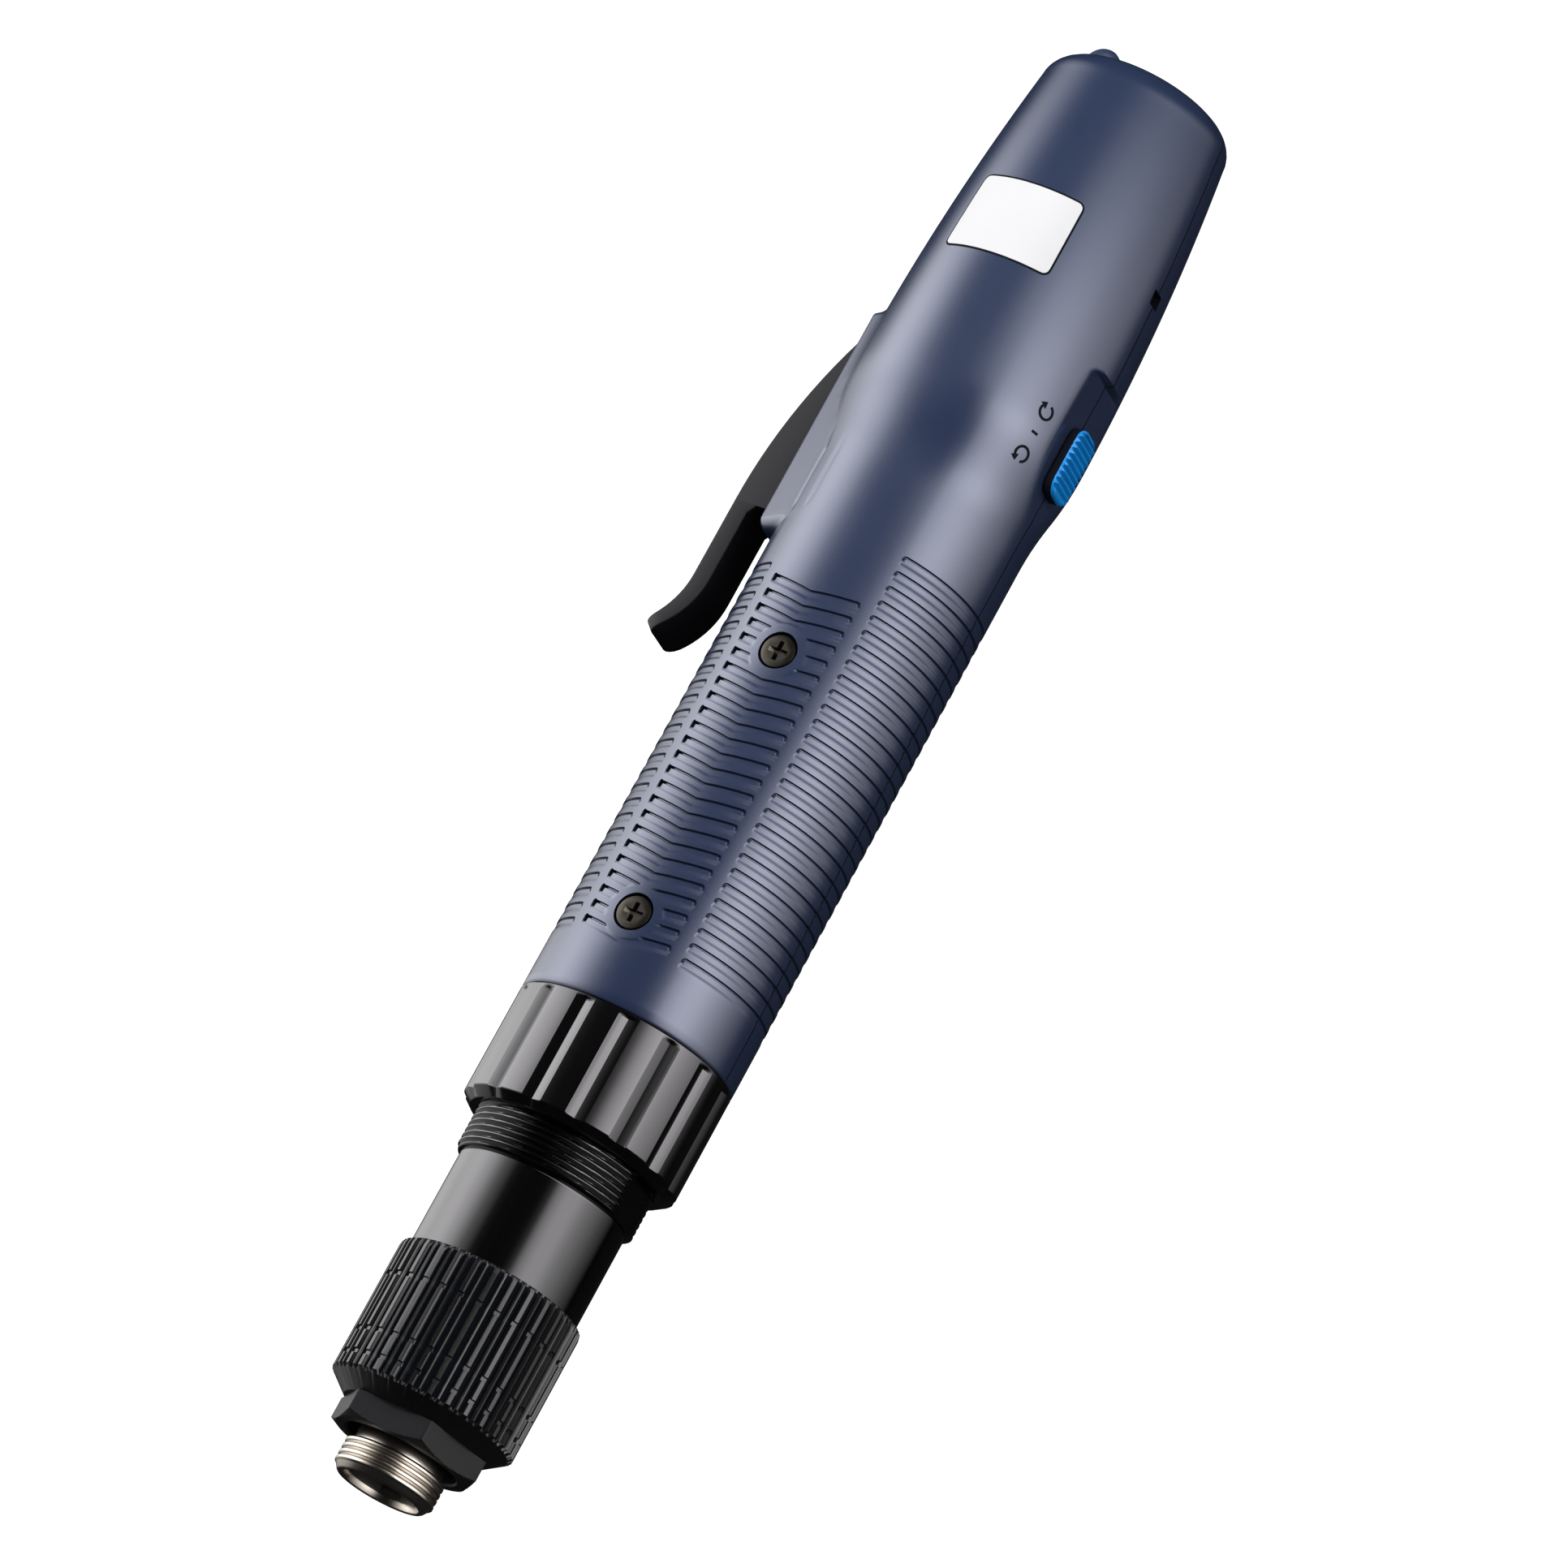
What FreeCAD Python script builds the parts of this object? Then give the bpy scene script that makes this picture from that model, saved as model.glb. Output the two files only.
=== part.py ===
import FreeCAD, Part
import Sketcher
import math
import operator
import os
from collections import namedtuple

# Lever-start electric screwdriver, lying on its lower half, in millimetres.
# The spindle runs along +X from the bit holder's mouth (the origin) to the tail.
# +Y is the lever side, -Y the direction slider side, and the housing splits on z = 0.
V = FreeCAD.Vector
LEFT = 1
RIGHT = -1
Round = namedtuple("Round", "x y radius")

SIZES = {
    # bit holder
    "collar_length": 5.1,
    "collar_dia": 16.5,
    "collar_travel": 2.5,
    "collar_ridges": 4,
    "collar_ridge_depth": 0.4,
    "mouth_dia": 12.8,
    "collar_stop": 2.0,
    "collar_land": 2.2,
    "collar_skirt_length": 3.1,
    "collar_skirt_wall": 0.4,
    "spindle_setback": 0.9,
    "spindle_nose_dia": 11.2,
    "spindle_dia": 13.0,
    "spindle_pilot_dia": 8.0,
    "socket_flats": 6.4,
    "socket_depth": 14.0,
    "bit_ball_dia": 2.5,
    "clip_thickness": 0.55,
    "clip_depth": 0.6,
    "clip_stand": 0.6,
    "collar_spring_wire": 0.6,
    "collar_spring_turns": 3,
    "collar_spring_room": 1.9,
    # torque nut
    "nose_gap": 1.4,
    "hex_length": 4.1,
    "hex_flats": 22.0,
    "hex_turn": 6.7,
    "hex_bevel": 0.9,
    "nose_bore": 18.5,
    "nut_length": 24.8,
    "nut_dia": 30.5,
    "nut_mouth_dia": 23.6,
    "nut_cone": 2.8,
    "nut_tail_chamfer": 1.2,
    "nut_rib_count": 60,
    "nut_rib_depth": 0.5,
    "nut_rib_gap": 0.8,
    "nut_travel": 9.0,
    "bush_length": 6.0,
    # clutch case and front collar
    "tube_dia": 28.0,
    "tube_overlap": 9.4,
    "tube_show": 16.2,
    "tube_wall": 1.7,
    "thread_dia": 30.0,
    "thread_length": 7.3,
    "skirt_dia": 33.0,
    "skirt_wall": 2.32,
    "ring_length": 19.4,
    "ring_round": 1.6,
    "ring_lip": 2.5,
    "flute_count": 15,
    "flute_radius": 3.2,
    "flute_depth": 0.6,
    "flute_tail": 1.6,
    "seam": 0.1,
    # clutch
    "seat_thickness": 1.5,
    "torque_wire": 1.6,
    "torque_turns": 4,
    "torque_coil_dia": 19.2,
    "clutch_dia": 23.0,
    "clutch_thickness": 4.2,
    "clutch_ball_dia": 4.0,
    "clutch_ball_count": 3,
    "clutch_ball_circle": 17.0,
    "ball_to_cam": 0.6,
    "ball_to_plate": 1.2,
    "ball_seat_depth": 1.4,
    "cam_thickness": 4.2,
    # gear train
    "gear_module": 0.5,
    "sun_teeth": 12,
    "planet_teeth": 18,
    "tooth_top": 0.42,
    "tooth_foot": 0.55,
    "tooth_backlash": 0.1,
    "planet_width": 7.8,
    "planet_count": 3,
    "planet_pin_dia": 2.0,
    "hub_dia": 12.0,
    "carrier_dia": 21.0,
    "carrier_thickness": 2.4,
    "bearing_dia": 21.0,
    "bearing_width": 5.0,
    "ring_gear_dia": 27.2,
    "case_length": 26.6,
    "case_nose": 11.0,
    "case_lip": 1.5,
    # motor
    "motor_dia": 28.0,
    "motor_length": 51.0,
    "can_wall": 0.8,
    "can_front": 2.6,
    "cap_thickness": 3.0,
    "motor_bearing_dia": 10.0,
    "motor_bearing_width": 4.0,
    "bearing_boss_wall": 1.6,
    "shaft_dia": 3.0,
    "magnet_dia": 15.2,
    "magnet_length": 31.0,
    "stator_length": 35.0,
    "stator_bore": 16.0,
    "slot_count": 6,
    "slot_width": 4.6,
    "slot_depth": 3.4,
    "coil_overhang": 1.6,
    "clamp_length": 11.0,
    # housing
    "grip_dia": 36.0,
    "shell_wall": 2.0,
    "lip_length": 1.9,
    "grip_length": 95.6,
    "flare_length": 18.5,
    "belly_dia": 39.2,
    "tail_length": 55.3,
    "tail_dia": 32.2,
    "tail_round": 4.2,
    "rear_wall": 2.5,
    # grip grooves
    "groove_pitch": 2.67,
    "groove_width": 0.8,
    "groove_depth": 0.5,
    "groove_start": 11.4,
    "slider_side_grooves": 28,
    "lever_side_grooves": 25,
    "side_band_angle": 60,
    # housing screws
    "front_screw": 14.4,
    "screw_spacing": 46.8,
    "screw_dia": 2.5,
    "screw_head_dia": 5.7,
    "screw_head_height": 1.0,
    "screw_sink": 1.2,
    "screw_length": 2.5,
    "recess_span": 3.0,
    "recess_width": 0.6,
    "recess_depth": 0.7,
    # start lever
    "hump_start": 82.6,
    "hump_length": 42.5,
    "hump_height": 20.2,
    "hump_half_width": 7.0,
    "hump_foot": 14.0,
    "hump_round": 2.0,
    "hump_slope": 2.5,
    "hump_wall": 3.0,
    "lever_width": 9.3,
    "lever_pivot": 120.1,
    "pivot_height": 17.8,
    "pivot_boss": 3.2,
    "arm_length": 33.0,
    "arm_floor": 15.2,
    "paddle_height": 27.0,
    "paddle_thickness": 3.0,
    "paddle_tip_thickness": 2.0,
    "paddle_flat": 12.4,
    "paddle_step": 1.0,
    "heel_rise": 3.52,
    "tip_rise": 3.8,
    "tip_run": 9.5,
    "lever_pin_dia": 3.0,
    "lever_pin_length": 13.4,
    "lever_spring_place": 22.5,
    "lever_spring_dia": 4.4,
    "lever_spring_wire": 0.7,
    "lever_spring_turns": 5,
    "magnet_place": 10.5,
    "lever_magnet_dia": 4.0,
    "lever_magnet_thickness": 2.0,
    # direction slider
    "slider_place": 111.5,
    "slider_length": 12.0,
    "slider_width": 7.0,
    "slider_height": 2.0,
    "slider_corner": 2.4,
    "slider_travel": 3.8,
    "slider_ribs": 7,
    "slider_rib_depth": 0.5,
    "flat_height": 18.2,
    "flat_end": 126.5,
    "flat_length": 34.0,
    "flat_half_width": 7.6,
    "flat_corner": 4.0,
    "stem_length": 3.0,
    "stem_width": 4.0,
    "stem_depth": 3.7,
    # electronics
    "board_length": 70.0,
    "board_gap": 8.0,
    "board_width": 15.0,
    "board_edge": 3.0,
    "board_thickness": 1.6,
    "board_height": 3.6,
    "tray_thickness": 1.7,
    "fence_thickness": 2.0,
    "fence_height": 3.2,
    "fence_front": 6.0,
    "fence_rear": 6.2,
    "sensor_length": 4.0,
    "sensor_thickness": 1.5,
    "switch_depth": 5.5,
    "switch_height": 5.6,
    "knob_length": 3.0,
    "knob_depth": 2.3,
    "lead_dia": 1.2,
    "lead_pitch": 2.6,
    "tray_leg_thickness": 2.0,
    "tray_leg_out": 6.0,
    "tray_leg_in": 3.6,
    "tray_leg_reach": 14.2,
    # rear socket and hanging ear
    "socket_side": 1.5,
    "socket_dia": 12.8,
    "socket_length": 14.3,
    "socket_stand": 0.3,
    "socket_flange_dia": 15.0,
    "socket_flange": 3.0,
    "socket_mouth_dia": 9.2,
    "socket_mouth_depth": 9.0,
    "socket_pin_count": 5,
    "socket_pin_dia": 1.0,
    "socket_pin_length": 4.0,
    "socket_pin_circle": 5.6,
    "ear_side": 9.2,
    "ear_width": 6.2,
    "ear_thickness": 3.5,
    "ear_reach": 3.2,
    "ear_hole_dia": 2.5,
    "ear_foot": 2.0,
    "ear_heel": 0.9,
    "notch_place": 142.3,
    "notch_length": 2.5,
    "notch_depth": 0.9,
    "notch_height": 0.6,
    "notch_reach": 18.6,
    # clearances
    "close_fit": 0.02,
    "running": 0.05,
    "thread_play": 0.1,
    "air": 0.3,
    "slot_play": 0.3,
}

doc = FreeCAD.newDocument("ElectricScrewdriver")
sheet = doc.addObject("Spreadsheet::Sheet", "Sizes")
for row, (alias, amount) in enumerate(SIZES.items(), start=1):
    sheet.set(f"A{row}", alias)
    sheet.set(f"B{row}", str(amount))
    sheet.setAlias(f"B{row}", alias)
doc.recompute()


class Size:
    """A length that holds its number and the sheet expression that gives it."""

    def __init__(self, text, number):
        self.text = text
        self.number = number

    def join(self, sign, other, work):
        other = size(other)
        return Size(f"({self.text} {sign} {other.text})", work(self.number, other.number))

    def __add__(self, other):
        return self.join("+", other, operator.add)

    def __radd__(self, other):
        return size(other) + self

    def __sub__(self, other):
        return self.join("-", other, operator.sub)

    def __rsub__(self, other):
        return size(other) - self

    def __mul__(self, other):
        return self.join("*", other, operator.mul)

    def __rmul__(self, other):
        return size(other) * self

    def __truediv__(self, other):
        return self.join("/", other, operator.truediv)

    def __neg__(self):
        return size(0) - self


def size(value):
    if isinstance(value, Size):
        return value
    return Size(f"({float(value)})", float(value))


def bow(run, rise):
    """Radius of the arc that leaves a line smoothly and rises by rise over run."""
    return (run * run + rise * rise) / (2 * rise)


Sheet = namedtuple("Sheet", SIZES)
s = Sheet(*[Size(f"Sizes.{alias}", float(amount)) for alias, amount in SIZES.items()])
parts = {}


def bind(thing, path, value):
    thing.setExpression(path, size(value).text)


def new_body(label, pieces=1):
    body = doc.addObject("PartDesign::Body", label)
    body.Label = label
    body.AllowCompound = pieces > 1
    return body


def node(label):
    """Start the body of a piece that is written to its own file."""
    parts[label] = new_body(label)
    return parts[label]


def node_group(label):
    """Start the body of several like pieces that share one file."""
    parts[label] = new_body(label, pieces=2)
    return parts[label]


def origin_part(body, role):
    return next(part for part in body.Origin.OriginFeatures if part.Role == role)


def sketch_on(body, name, role, start):
    sketch = body.newObject("Sketcher::SketchObject", f"{body.Name}_{name}_sketch")
    sketch.AttachmentSupport = [(origin_part(body, role), "")]
    sketch.MapMode = "FlatFace"
    bind(sketch, "AttachmentOffset.Base.z", start)
    return sketch


def hold(sketch, kind, *place_and_value):
    """Add one constraint and tie its number to the sheet."""
    value = size(place_and_value[-1])
    index = sketch.addConstraint(Sketcher.Constraint(kind, *place_and_value[:-1], value.number))
    bind(sketch, f"Constraints[{index}]", value)


def arc_side(a, b, radius, turn):
    chord = b - a
    across = V(-chord.y, chord.x, 0).normalize()
    reach = math.sqrt(radius ** 2 - (chord.Length / 2) ** 2)
    centre = (a + b) * 0.5 + across * (reach * turn)
    ends = [math.atan2(p.y - centre.y, p.x - centre.x) for p in (a, b)[::turn]]
    return Part.ArcOfCircle(Part.Circle(centre, V(0, 0, 1), radius), *ends)


def draw_loop(sketch, corners):
    """Close a loop through (x, y) corners; (x, y, radius, turn) bends the side after it."""
    first = sketch.GeometryCount
    corners = [[size(c) if k < 3 else c for k, c in enumerate(corner)] for corner in corners]
    points = [V(c[0].number, c[1].number, 0) for c in corners]
    begins = []
    for index, corner in enumerate(corners):
        a, b = points[index], points[(index + 1) % len(points)]
        if len(corner) == 4:
            sketch.addGeometry(arc_side(a, b, corner[2].number, corner[3]))
            begins.append(1 if corner[3] == LEFT else 2)
        else:
            sketch.addGeometry(Part.LineSegment(a, b))
            begins.append(1)
    for index in range(len(corners)):
        after = (index + 1) % len(corners)
        ends = (first + index, 3 - begins[index], first + after, begins[after])
        sketch.addConstraint(Sketcher.Constraint("Coincident", *ends))
    for index, corner in enumerate(corners):
        hold(sketch, "DistanceX", -1, 1, first + index, begins[index], corner[0])
        hold(sketch, "DistanceY", -1, 1, first + index, begins[index], corner[1])
        if len(corner) == 4:
            hold(sketch, "Radius", first + index, corner[2])


def draw_round(sketch, shape):
    x, y, radius = [size(value) for value in shape]
    circle = sketch.addGeometry(Part.Circle(V(x.number, y.number, 0), V(0, 0, 1), radius.number))
    hold(sketch, "DistanceX", -1, 1, circle, 3, x)
    hold(sketch, "DistanceY", -1, 1, circle, 3, y)
    hold(sketch, "Radius", circle, radius)


def add_feature(body, kind, name, sketch):
    feature = body.newObject(f"PartDesign::{kind}", f"{body.Name}_{name}")
    feature.Profile = sketch
    return feature


def revolve(body, name, corners, degrees=360, cut=False, backwards=False):
    """Turn a profile of (x, radius) corners about the X axis."""
    sketch = sketch_on(body, name, "XY_Plane", 0)
    draw_loop(sketch, corners)
    feature = add_feature(body, "Groove" if cut else "Revolution", name, sketch)
    feature.ReferenceAxis = (sketch, ["H_Axis"])
    bind(feature, "Angle", degrees)
    feature.Reversed = backwards
    return feature


def prism(body, name, role, start, length, shapes, cut=False):
    """Raise or cut outlines from start along the plane's own normal."""
    sketch = sketch_on(body, name, role, start)
    for shape in shapes:
        if isinstance(shape, Round):
            draw_round(sketch, shape)
        else:
            draw_loop(sketch, shape)
    feature = add_feature(body, "Pocket" if cut else "Pad", name, sketch)
    bind(feature, "Length", length)
    feature.Reversed = cut
    return feature


def around(body, feature, count):
    pattern = body.newObject("PartDesign::PolarPattern", f"{feature.Name}_around")
    pattern.Originals = [feature]
    pattern.Axis = (origin_part(body, "X_Axis"), [""])
    pattern.Angle = 360
    bind(pattern, "Occurrences", count)
    body.Tip = pattern
    return pattern


def along(body, feature, count, pitch):
    pattern = body.newObject("PartDesign::LinearPattern", f"{feature.Name}_along")
    pattern.Originals = [feature]
    pattern.Direction = (origin_part(body, "X_Axis"), [""])
    bind(pattern, "Length", (count - 1) * pitch)
    bind(pattern, "Occurrences", count)
    body.Tip = pattern
    return pattern


def mirrored(body, features, role):
    pattern = body.newObject("PartDesign::Mirrored", f"{features[-1].Name}_mirrored")
    pattern.Originals = features
    pattern.MirrorPlane = (origin_part(body, role), [""])
    body.Tip = pattern
    return pattern


def box(x0, x1, y0, y1):
    return [(x0, y0), (x1, y0), (x1, y1), (x0, y1)]


def tube(x0, x1, r0, r1):
    """Profile of a plain ring between two places and two radii."""
    return box(x0, x1, r0, r1)


def hexagon(flats, turn=0):
    """Six-sided outline, with a flat on top unless it is turned by some degrees."""
    corner = flats / math.sqrt(3)
    angles = [math.radians(turn + 60 * side) for side in range(6)]
    return [(corner * math.cos(angle), corner * math.sin(angle)) for angle in angles]


def shaped(label, shape):
    """Hold a shape that is worked out here, from the sheet's own numbers."""
    piece = doc.addObject("Part::Feature", label)
    piece.Label = label
    piece.Shape = shape
    return piece


# Places along the axis
HEX_START = s.collar_length + s.nose_gap
NUT_START = HEX_START + s.hex_length
NUT_END = NUT_START + s.nut_length
TUBE_START = NUT_END - s.tube_overlap
THREAD_START = NUT_END + s.tube_show
RING_START = THREAD_START + s.thread_length
RING_END = RING_START + s.ring_length
HOUSE_START = RING_END + s.seam
SHOULDER = s.collar_length + s.collar_travel + s.collar_spring_room
CASE_STEP = HOUSE_START + s.lip_length + s.thread_play
CASE_START = CASE_STEP - s.case_nose
CASE_END = CASE_START + s.case_length
BEARING_START = CASE_START + s.carrier_thickness / 4
CAM_END = CASE_START - s.air * 2
CAM_START = CAM_END - s.cam_thickness
BALL_PLACE = CAM_START - s.ball_to_cam
PLATE_END = BALL_PLACE - s.ball_to_plate
PLATE_START = PLATE_END - s.clutch_thickness
THRUST_END = PLATE_START - s.air
THRUST_START = THRUST_END - s.seat_thickness
SLEEVE_END = NUT_END - s.air
SEAT_START = SLEEVE_END + s.running
SEAT_END = SEAT_START + s.seat_thickness
CARRIER_START = CASE_STEP - s.air * 2
CARRIER_END = CARRIER_START + s.carrier_thickness
PLANET_START = CARRIER_END + s.air
PLANET_END = PLANET_START + s.planet_width
RING_GEAR_START = CARRIER_END - s.carrier_thickness / 4
MOTOR_START = CASE_END
CAN_END = MOTOR_START + s.motor_length
MOTOR_END = CAN_END + s.cap_thickness
GRIP_END = HOUSE_START + s.grip_length
BELLY = GRIP_END + s.flare_length
TAIL = BELLY + s.tail_length
REAR = TAIL + s.tail_round
FRONT_SCREW = HOUSE_START + s.front_screw
REAR_SCREW = FRONT_SCREW + s.screw_spacing
PIVOT = HOUSE_START + s.lever_pivot
SLIDER = HOUSE_START + s.slider_place
BOARD_START = MOTOR_END + s.board_gap
BOARD_END = BOARD_START + s.board_length
BOARD_TOP = -s.board_height
BOARD_FLOOR = BOARD_TOP - s.board_thickness
TRAY_TOP = BOARD_FLOOR - s.running
TRAY_FLOOR = TRAY_TOP - s.tray_thickness
FENCE_FACE = s.board_edge + s.air + s.fence_thickness

# Radii
TUBE_BORE = s.tube_dia / 2 - s.tube_wall
SLEEVE = TUBE_BORE - s.thread_play
SPINDLE = s.spindle_dia / 2
GRIP = s.grip_dia / 2
BELLY_RADIUS = s.belly_dia / 2
TAIL_RADIUS = s.tail_dia / 2
CASE_RADIUS = GRIP - s.shell_wall - s.thread_play
NOSE_RADIUS = s.skirt_dia / 2 - s.skirt_wall
PLANET_ORBIT = s.gear_module * (s.sun_teeth + s.planet_teeth) / 2
MOTOR = s.motor_dia / 2
SCREW_SEAT = GRIP - s.screw_sink
SCREW_TIP = SCREW_SEAT - s.screw_length


# Bit holder

def make_bit_collar():
    body = node("bit_collar")
    outer = s.collar_dia / 2
    valley = outer - s.collar_ridge_depth
    pitch = s.collar_length / (s.collar_ridges + 1)
    teeth = []
    for ridge in range(int(SIZES["collar_ridges"])):
        teeth += [(pitch * (ridge + 0.7), valley), (pitch * (ridge + 1.2), outer)]
    land_end = s.collar_stop + s.collar_land
    bore = s.spindle_nose_dia / 2 + s.thread_play
    spring_room = SPINDLE + s.air
    skirt = spring_room + s.collar_skirt_wall
    skirt_end = s.collar_length + s.collar_skirt_length
    revolve(body, "ring", [(0, s.mouth_dia / 2), (0, valley - s.collar_ridge_depth), *teeth,
                           (s.collar_length, valley), (s.collar_length, skirt), (skirt_end, skirt),
                           (skirt_end, spring_room), (land_end, spring_room), (land_end, bore),
                           (s.collar_stop, bore), (s.collar_stop, s.mouth_dia / 2)])


def make_spindle():
    body = node("spindle")
    nose = s.spindle_nose_dia / 2
    groove_end = s.collar_stop - s.thread_play
    groove_start = groove_end - s.clip_thickness - s.thread_play
    pilot_end = CARRIER_START - s.air
    revolve(body, "shaft", [(s.spindle_setback, 0), (s.spindle_setback, nose - s.air),
                            (s.spindle_setback + s.air, nose), (groove_start, nose),
                            (groove_start, nose - s.clip_depth), (groove_end, nose - s.clip_depth),
                            (groove_end, nose), (SHOULDER, nose), (SHOULDER, SPINDLE),
                            (PLATE_END, SPINDLE), (PLATE_END, s.spindle_pilot_dia / 2),
                            (pilot_end, s.spindle_pilot_dia / 2), (pilot_end, 0)])
    prism(body, "socket", "YZ_Plane", s.spindle_setback, s.socket_depth,
          [hexagon(s.socket_flats)], cut=True)
    reach = s.spindle_dia
    prism(body, "ball_holes", "XY_Plane", -reach, 2 * reach,
          [Round(s.collar_stop + s.collar_land / 2, 0, s.bit_ball_dia / 2 + s.running)], cut=True)


def make_collar_clip():
    body = node("collar_clip")
    nose = s.spindle_nose_dia / 2
    end = s.collar_stop - s.thread_play - s.running
    revolve(body, "ring", tube(end - s.clip_thickness, end, nose - s.clip_depth + s.close_fit,
                               nose + s.clip_stand))


def make_bit_balls():
    balls = []
    offset = (s.spindle_nose_dia - s.bit_ball_dia) / 2 - s.running
    for index, side in enumerate((1, -1), start=1):
        ball = doc.addObject("Part::Sphere", f"bit_ball_{index}")
        bind(ball, "Radius", s.bit_ball_dia / 2)
        bind(ball, "Placement.Base.x", s.collar_stop + s.collar_land / 2)
        bind(ball, "Placement.Base.z", side * offset)
        balls.append(ball)
    group = doc.addObject("Part::Compound", "bit_balls")
    group.Links = balls
    parts["bit_balls"] = group


# Springs are one six-sided wire swept along pairs of tangent arcs, a pair to each quarter turn

def tangent_arc(a, heading, b):
    """Arc that leaves a along heading and ends at b."""
    chord = b - a
    along_chord = chord * (1 / chord.Length)
    lean = heading.dot(along_chord)
    bulge = (heading - along_chord * lean).normalize()
    half_turn = math.acos(lean)
    return Part.Arc(a, (a + b) * 0.5 + bulge * (chord.Length / 2 * math.tan(half_turn / 2)), b).toShape()


def arc_pair(a, a_heading, b, b_heading):
    """Two arcs that join a to b smoothly with the headings given."""
    gap = b - a
    spread = 2 * (1 - a_heading.dot(b_heading))
    pull = gap.dot(a_heading + b_heading)
    reach = (math.sqrt(pull * pull + spread * gap.dot(gap)) - pull) / spread
    middle = (a + b + (a_heading - b_heading) * reach) * 0.5
    back = tangent_arc(b, b_heading * -1, middle)
    return [tangent_arc(a, a_heading, middle), Part.Edge(back.reversed())]


def coil(start, length, radius, wire, turns, place):
    """Helix of wire; place maps (along, across, up) to the part's own frame."""
    steps = 4 * turns
    rise = (length - wire) / steps
    level = start + wire / 2
    origin = place(0, 0, 0)
    stations = []
    for step in range(steps + 1):
        angle = math.pi / 2 * step
        across, up = math.cos(angle), math.sin(angle)
        point = place(level + rise * step, radius * across, radius * up)
        heading = place(rise / (math.pi / 2), -radius * up, radius * across) - origin
        stations.append((point, heading.normalize()))
    arcs = []
    for (a, a_heading), (b, b_heading) in zip(stations, stations[1:]):
        arcs += arc_pair(a, a_heading, b, b_heading)
    first, heading = stations[0]
    outward = (first - place(level, 0, 0)).normalize()
    upward = heading.cross(outward)
    corners = [math.radians(60 * corner) for corner in range(7)]
    ring = [first + (outward * math.cos(a) + upward * math.sin(a)) * (wire / 2) for a in corners]
    shell = Part.BRepOffsetAPI.MakePipeShell(Part.Wire(arcs))
    shell.add(Part.makePolygon(ring))
    shell.build()
    shell.makeSolid()
    print(f"coil of {turns} turns, least gap to itself {rise * 4 - wire:.2f} mm")
    return shell.shape()


def make_springs():
    wire = s.collar_spring_wire.number
    land_end = (s.collar_stop + s.collar_land).number
    middle = (SPINDLE.number + s.spindle_nose_dia.number / 2) / 2 + s.air.number
    nudge = s.close_fit.number
    parts["collar_spring"] = shaped("collar_spring", coil(
        land_end + nudge, SHOULDER.number - land_end - 2 * nudge, middle, wire,
        int(SIZES["collar_spring_turns"]), lambda x, y, z: V(x, y, z)))
    parts["torque_spring"] = shaped("torque_spring", coil(
        SEAT_END.number + nudge, (THRUST_START - SEAT_END).number - 2 * nudge,
        s.torque_coil_dia.number / 2, s.torque_wire.number, int(SIZES["torque_turns"]),
        lambda x, y, z: V(x, y, z)))
    place = (PIVOT - s.lever_spring_place).number
    face = FENCE_FACE.number
    parts["lever_spring"] = shaped("lever_spring", coil(
        face + nudge, lever_floor(s.lever_spring_place).number - face - s.air.number,
        s.lever_spring_dia.number / 2, s.lever_spring_wire.number,
        int(SIZES["lever_spring_turns"]), lambda y, z, x: V(place + x, y, z)))


# Torque nut and clutch

def make_torque_nut():
    body = node("torque_nut")
    outer = s.nut_dia / 2
    skirt = s.tube_dia / 2 + s.air
    bore = s.nose_bore / 2
    pocket_start = TUBE_START - s.nut_travel - s.air * 3
    revolve(body, "shell", [
        (NUT_START, bore), (NUT_START, s.nut_mouth_dia / 2), (NUT_START + s.nut_cone, outer),
        (NUT_END - s.nut_tail_chamfer, outer), (NUT_END, outer - s.nut_rib_depth),
        (NUT_END, skirt), (pocket_start, skirt), (pocket_start, SLEEVE),
        (SLEEVE_END, SLEEVE), (SLEEVE_END, bore)])
    rib_gap = s.nut_rib_gap / 2
    cut = prism(body, "rib_gap", "YZ_Plane", NUT_START, s.nut_length, [[
        (outer - s.nut_rib_depth, 0), (outer + s.nut_rib_depth, -2 * rib_gap),
        (outer + s.nut_rib_depth, 2 * rib_gap)]], cut=True)
    around(body, cut, s.nut_rib_count)
    prism(body, "hex", "YZ_Plane", HEX_START, s.hex_length + s.nut_cone / 2,
          [hexagon(s.hex_flats, SIZES["hex_turn"]), Round(0, 0, bore)])
    flat = s.hex_flats / 2
    body.Tip = revolve(body, "hex_bevel", [
        (HEX_START, flat), (HEX_START, s.hex_flats), (HEX_START + s.hex_bevel * 10, s.hex_flats),
        (HEX_START + s.hex_bevel, flat + s.hex_bevel * 2)], cut=True)


def make_nose_bush():
    body = node("nose_bush")
    start = NUT_START + s.air
    revolve(body, "bush", tube(start, start + s.bush_length, SPINDLE + s.running,
                               s.nose_bore / 2 - s.close_fit))


def make_clutch_rings():
    inner = SPINDLE + s.running * 4
    outer = TUBE_BORE - s.air
    revolve(node("spring_seat"), "ring", tube(SEAT_START, SEAT_END, inner, outer))
    revolve(node("thrust_ring"), "ring", tube(THRUST_START, THRUST_END, inner, outer))


def make_clutch_plate():
    body = node("clutch_plate")
    outer = s.clutch_dia / 2
    revolve(body, "disc", tube(PLATE_START, PLATE_END, SPINDLE + s.running, outer))
    orbit = s.clutch_ball_circle / 2
    seat = prism(body, "ball_seat", "YZ_Plane", PLATE_END - s.ball_seat_depth,
                 s.clutch_ball_dia, [Round(orbit, 0, s.clutch_ball_dia / 2)], cut=True)
    around(body, seat, s.clutch_ball_count)


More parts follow.
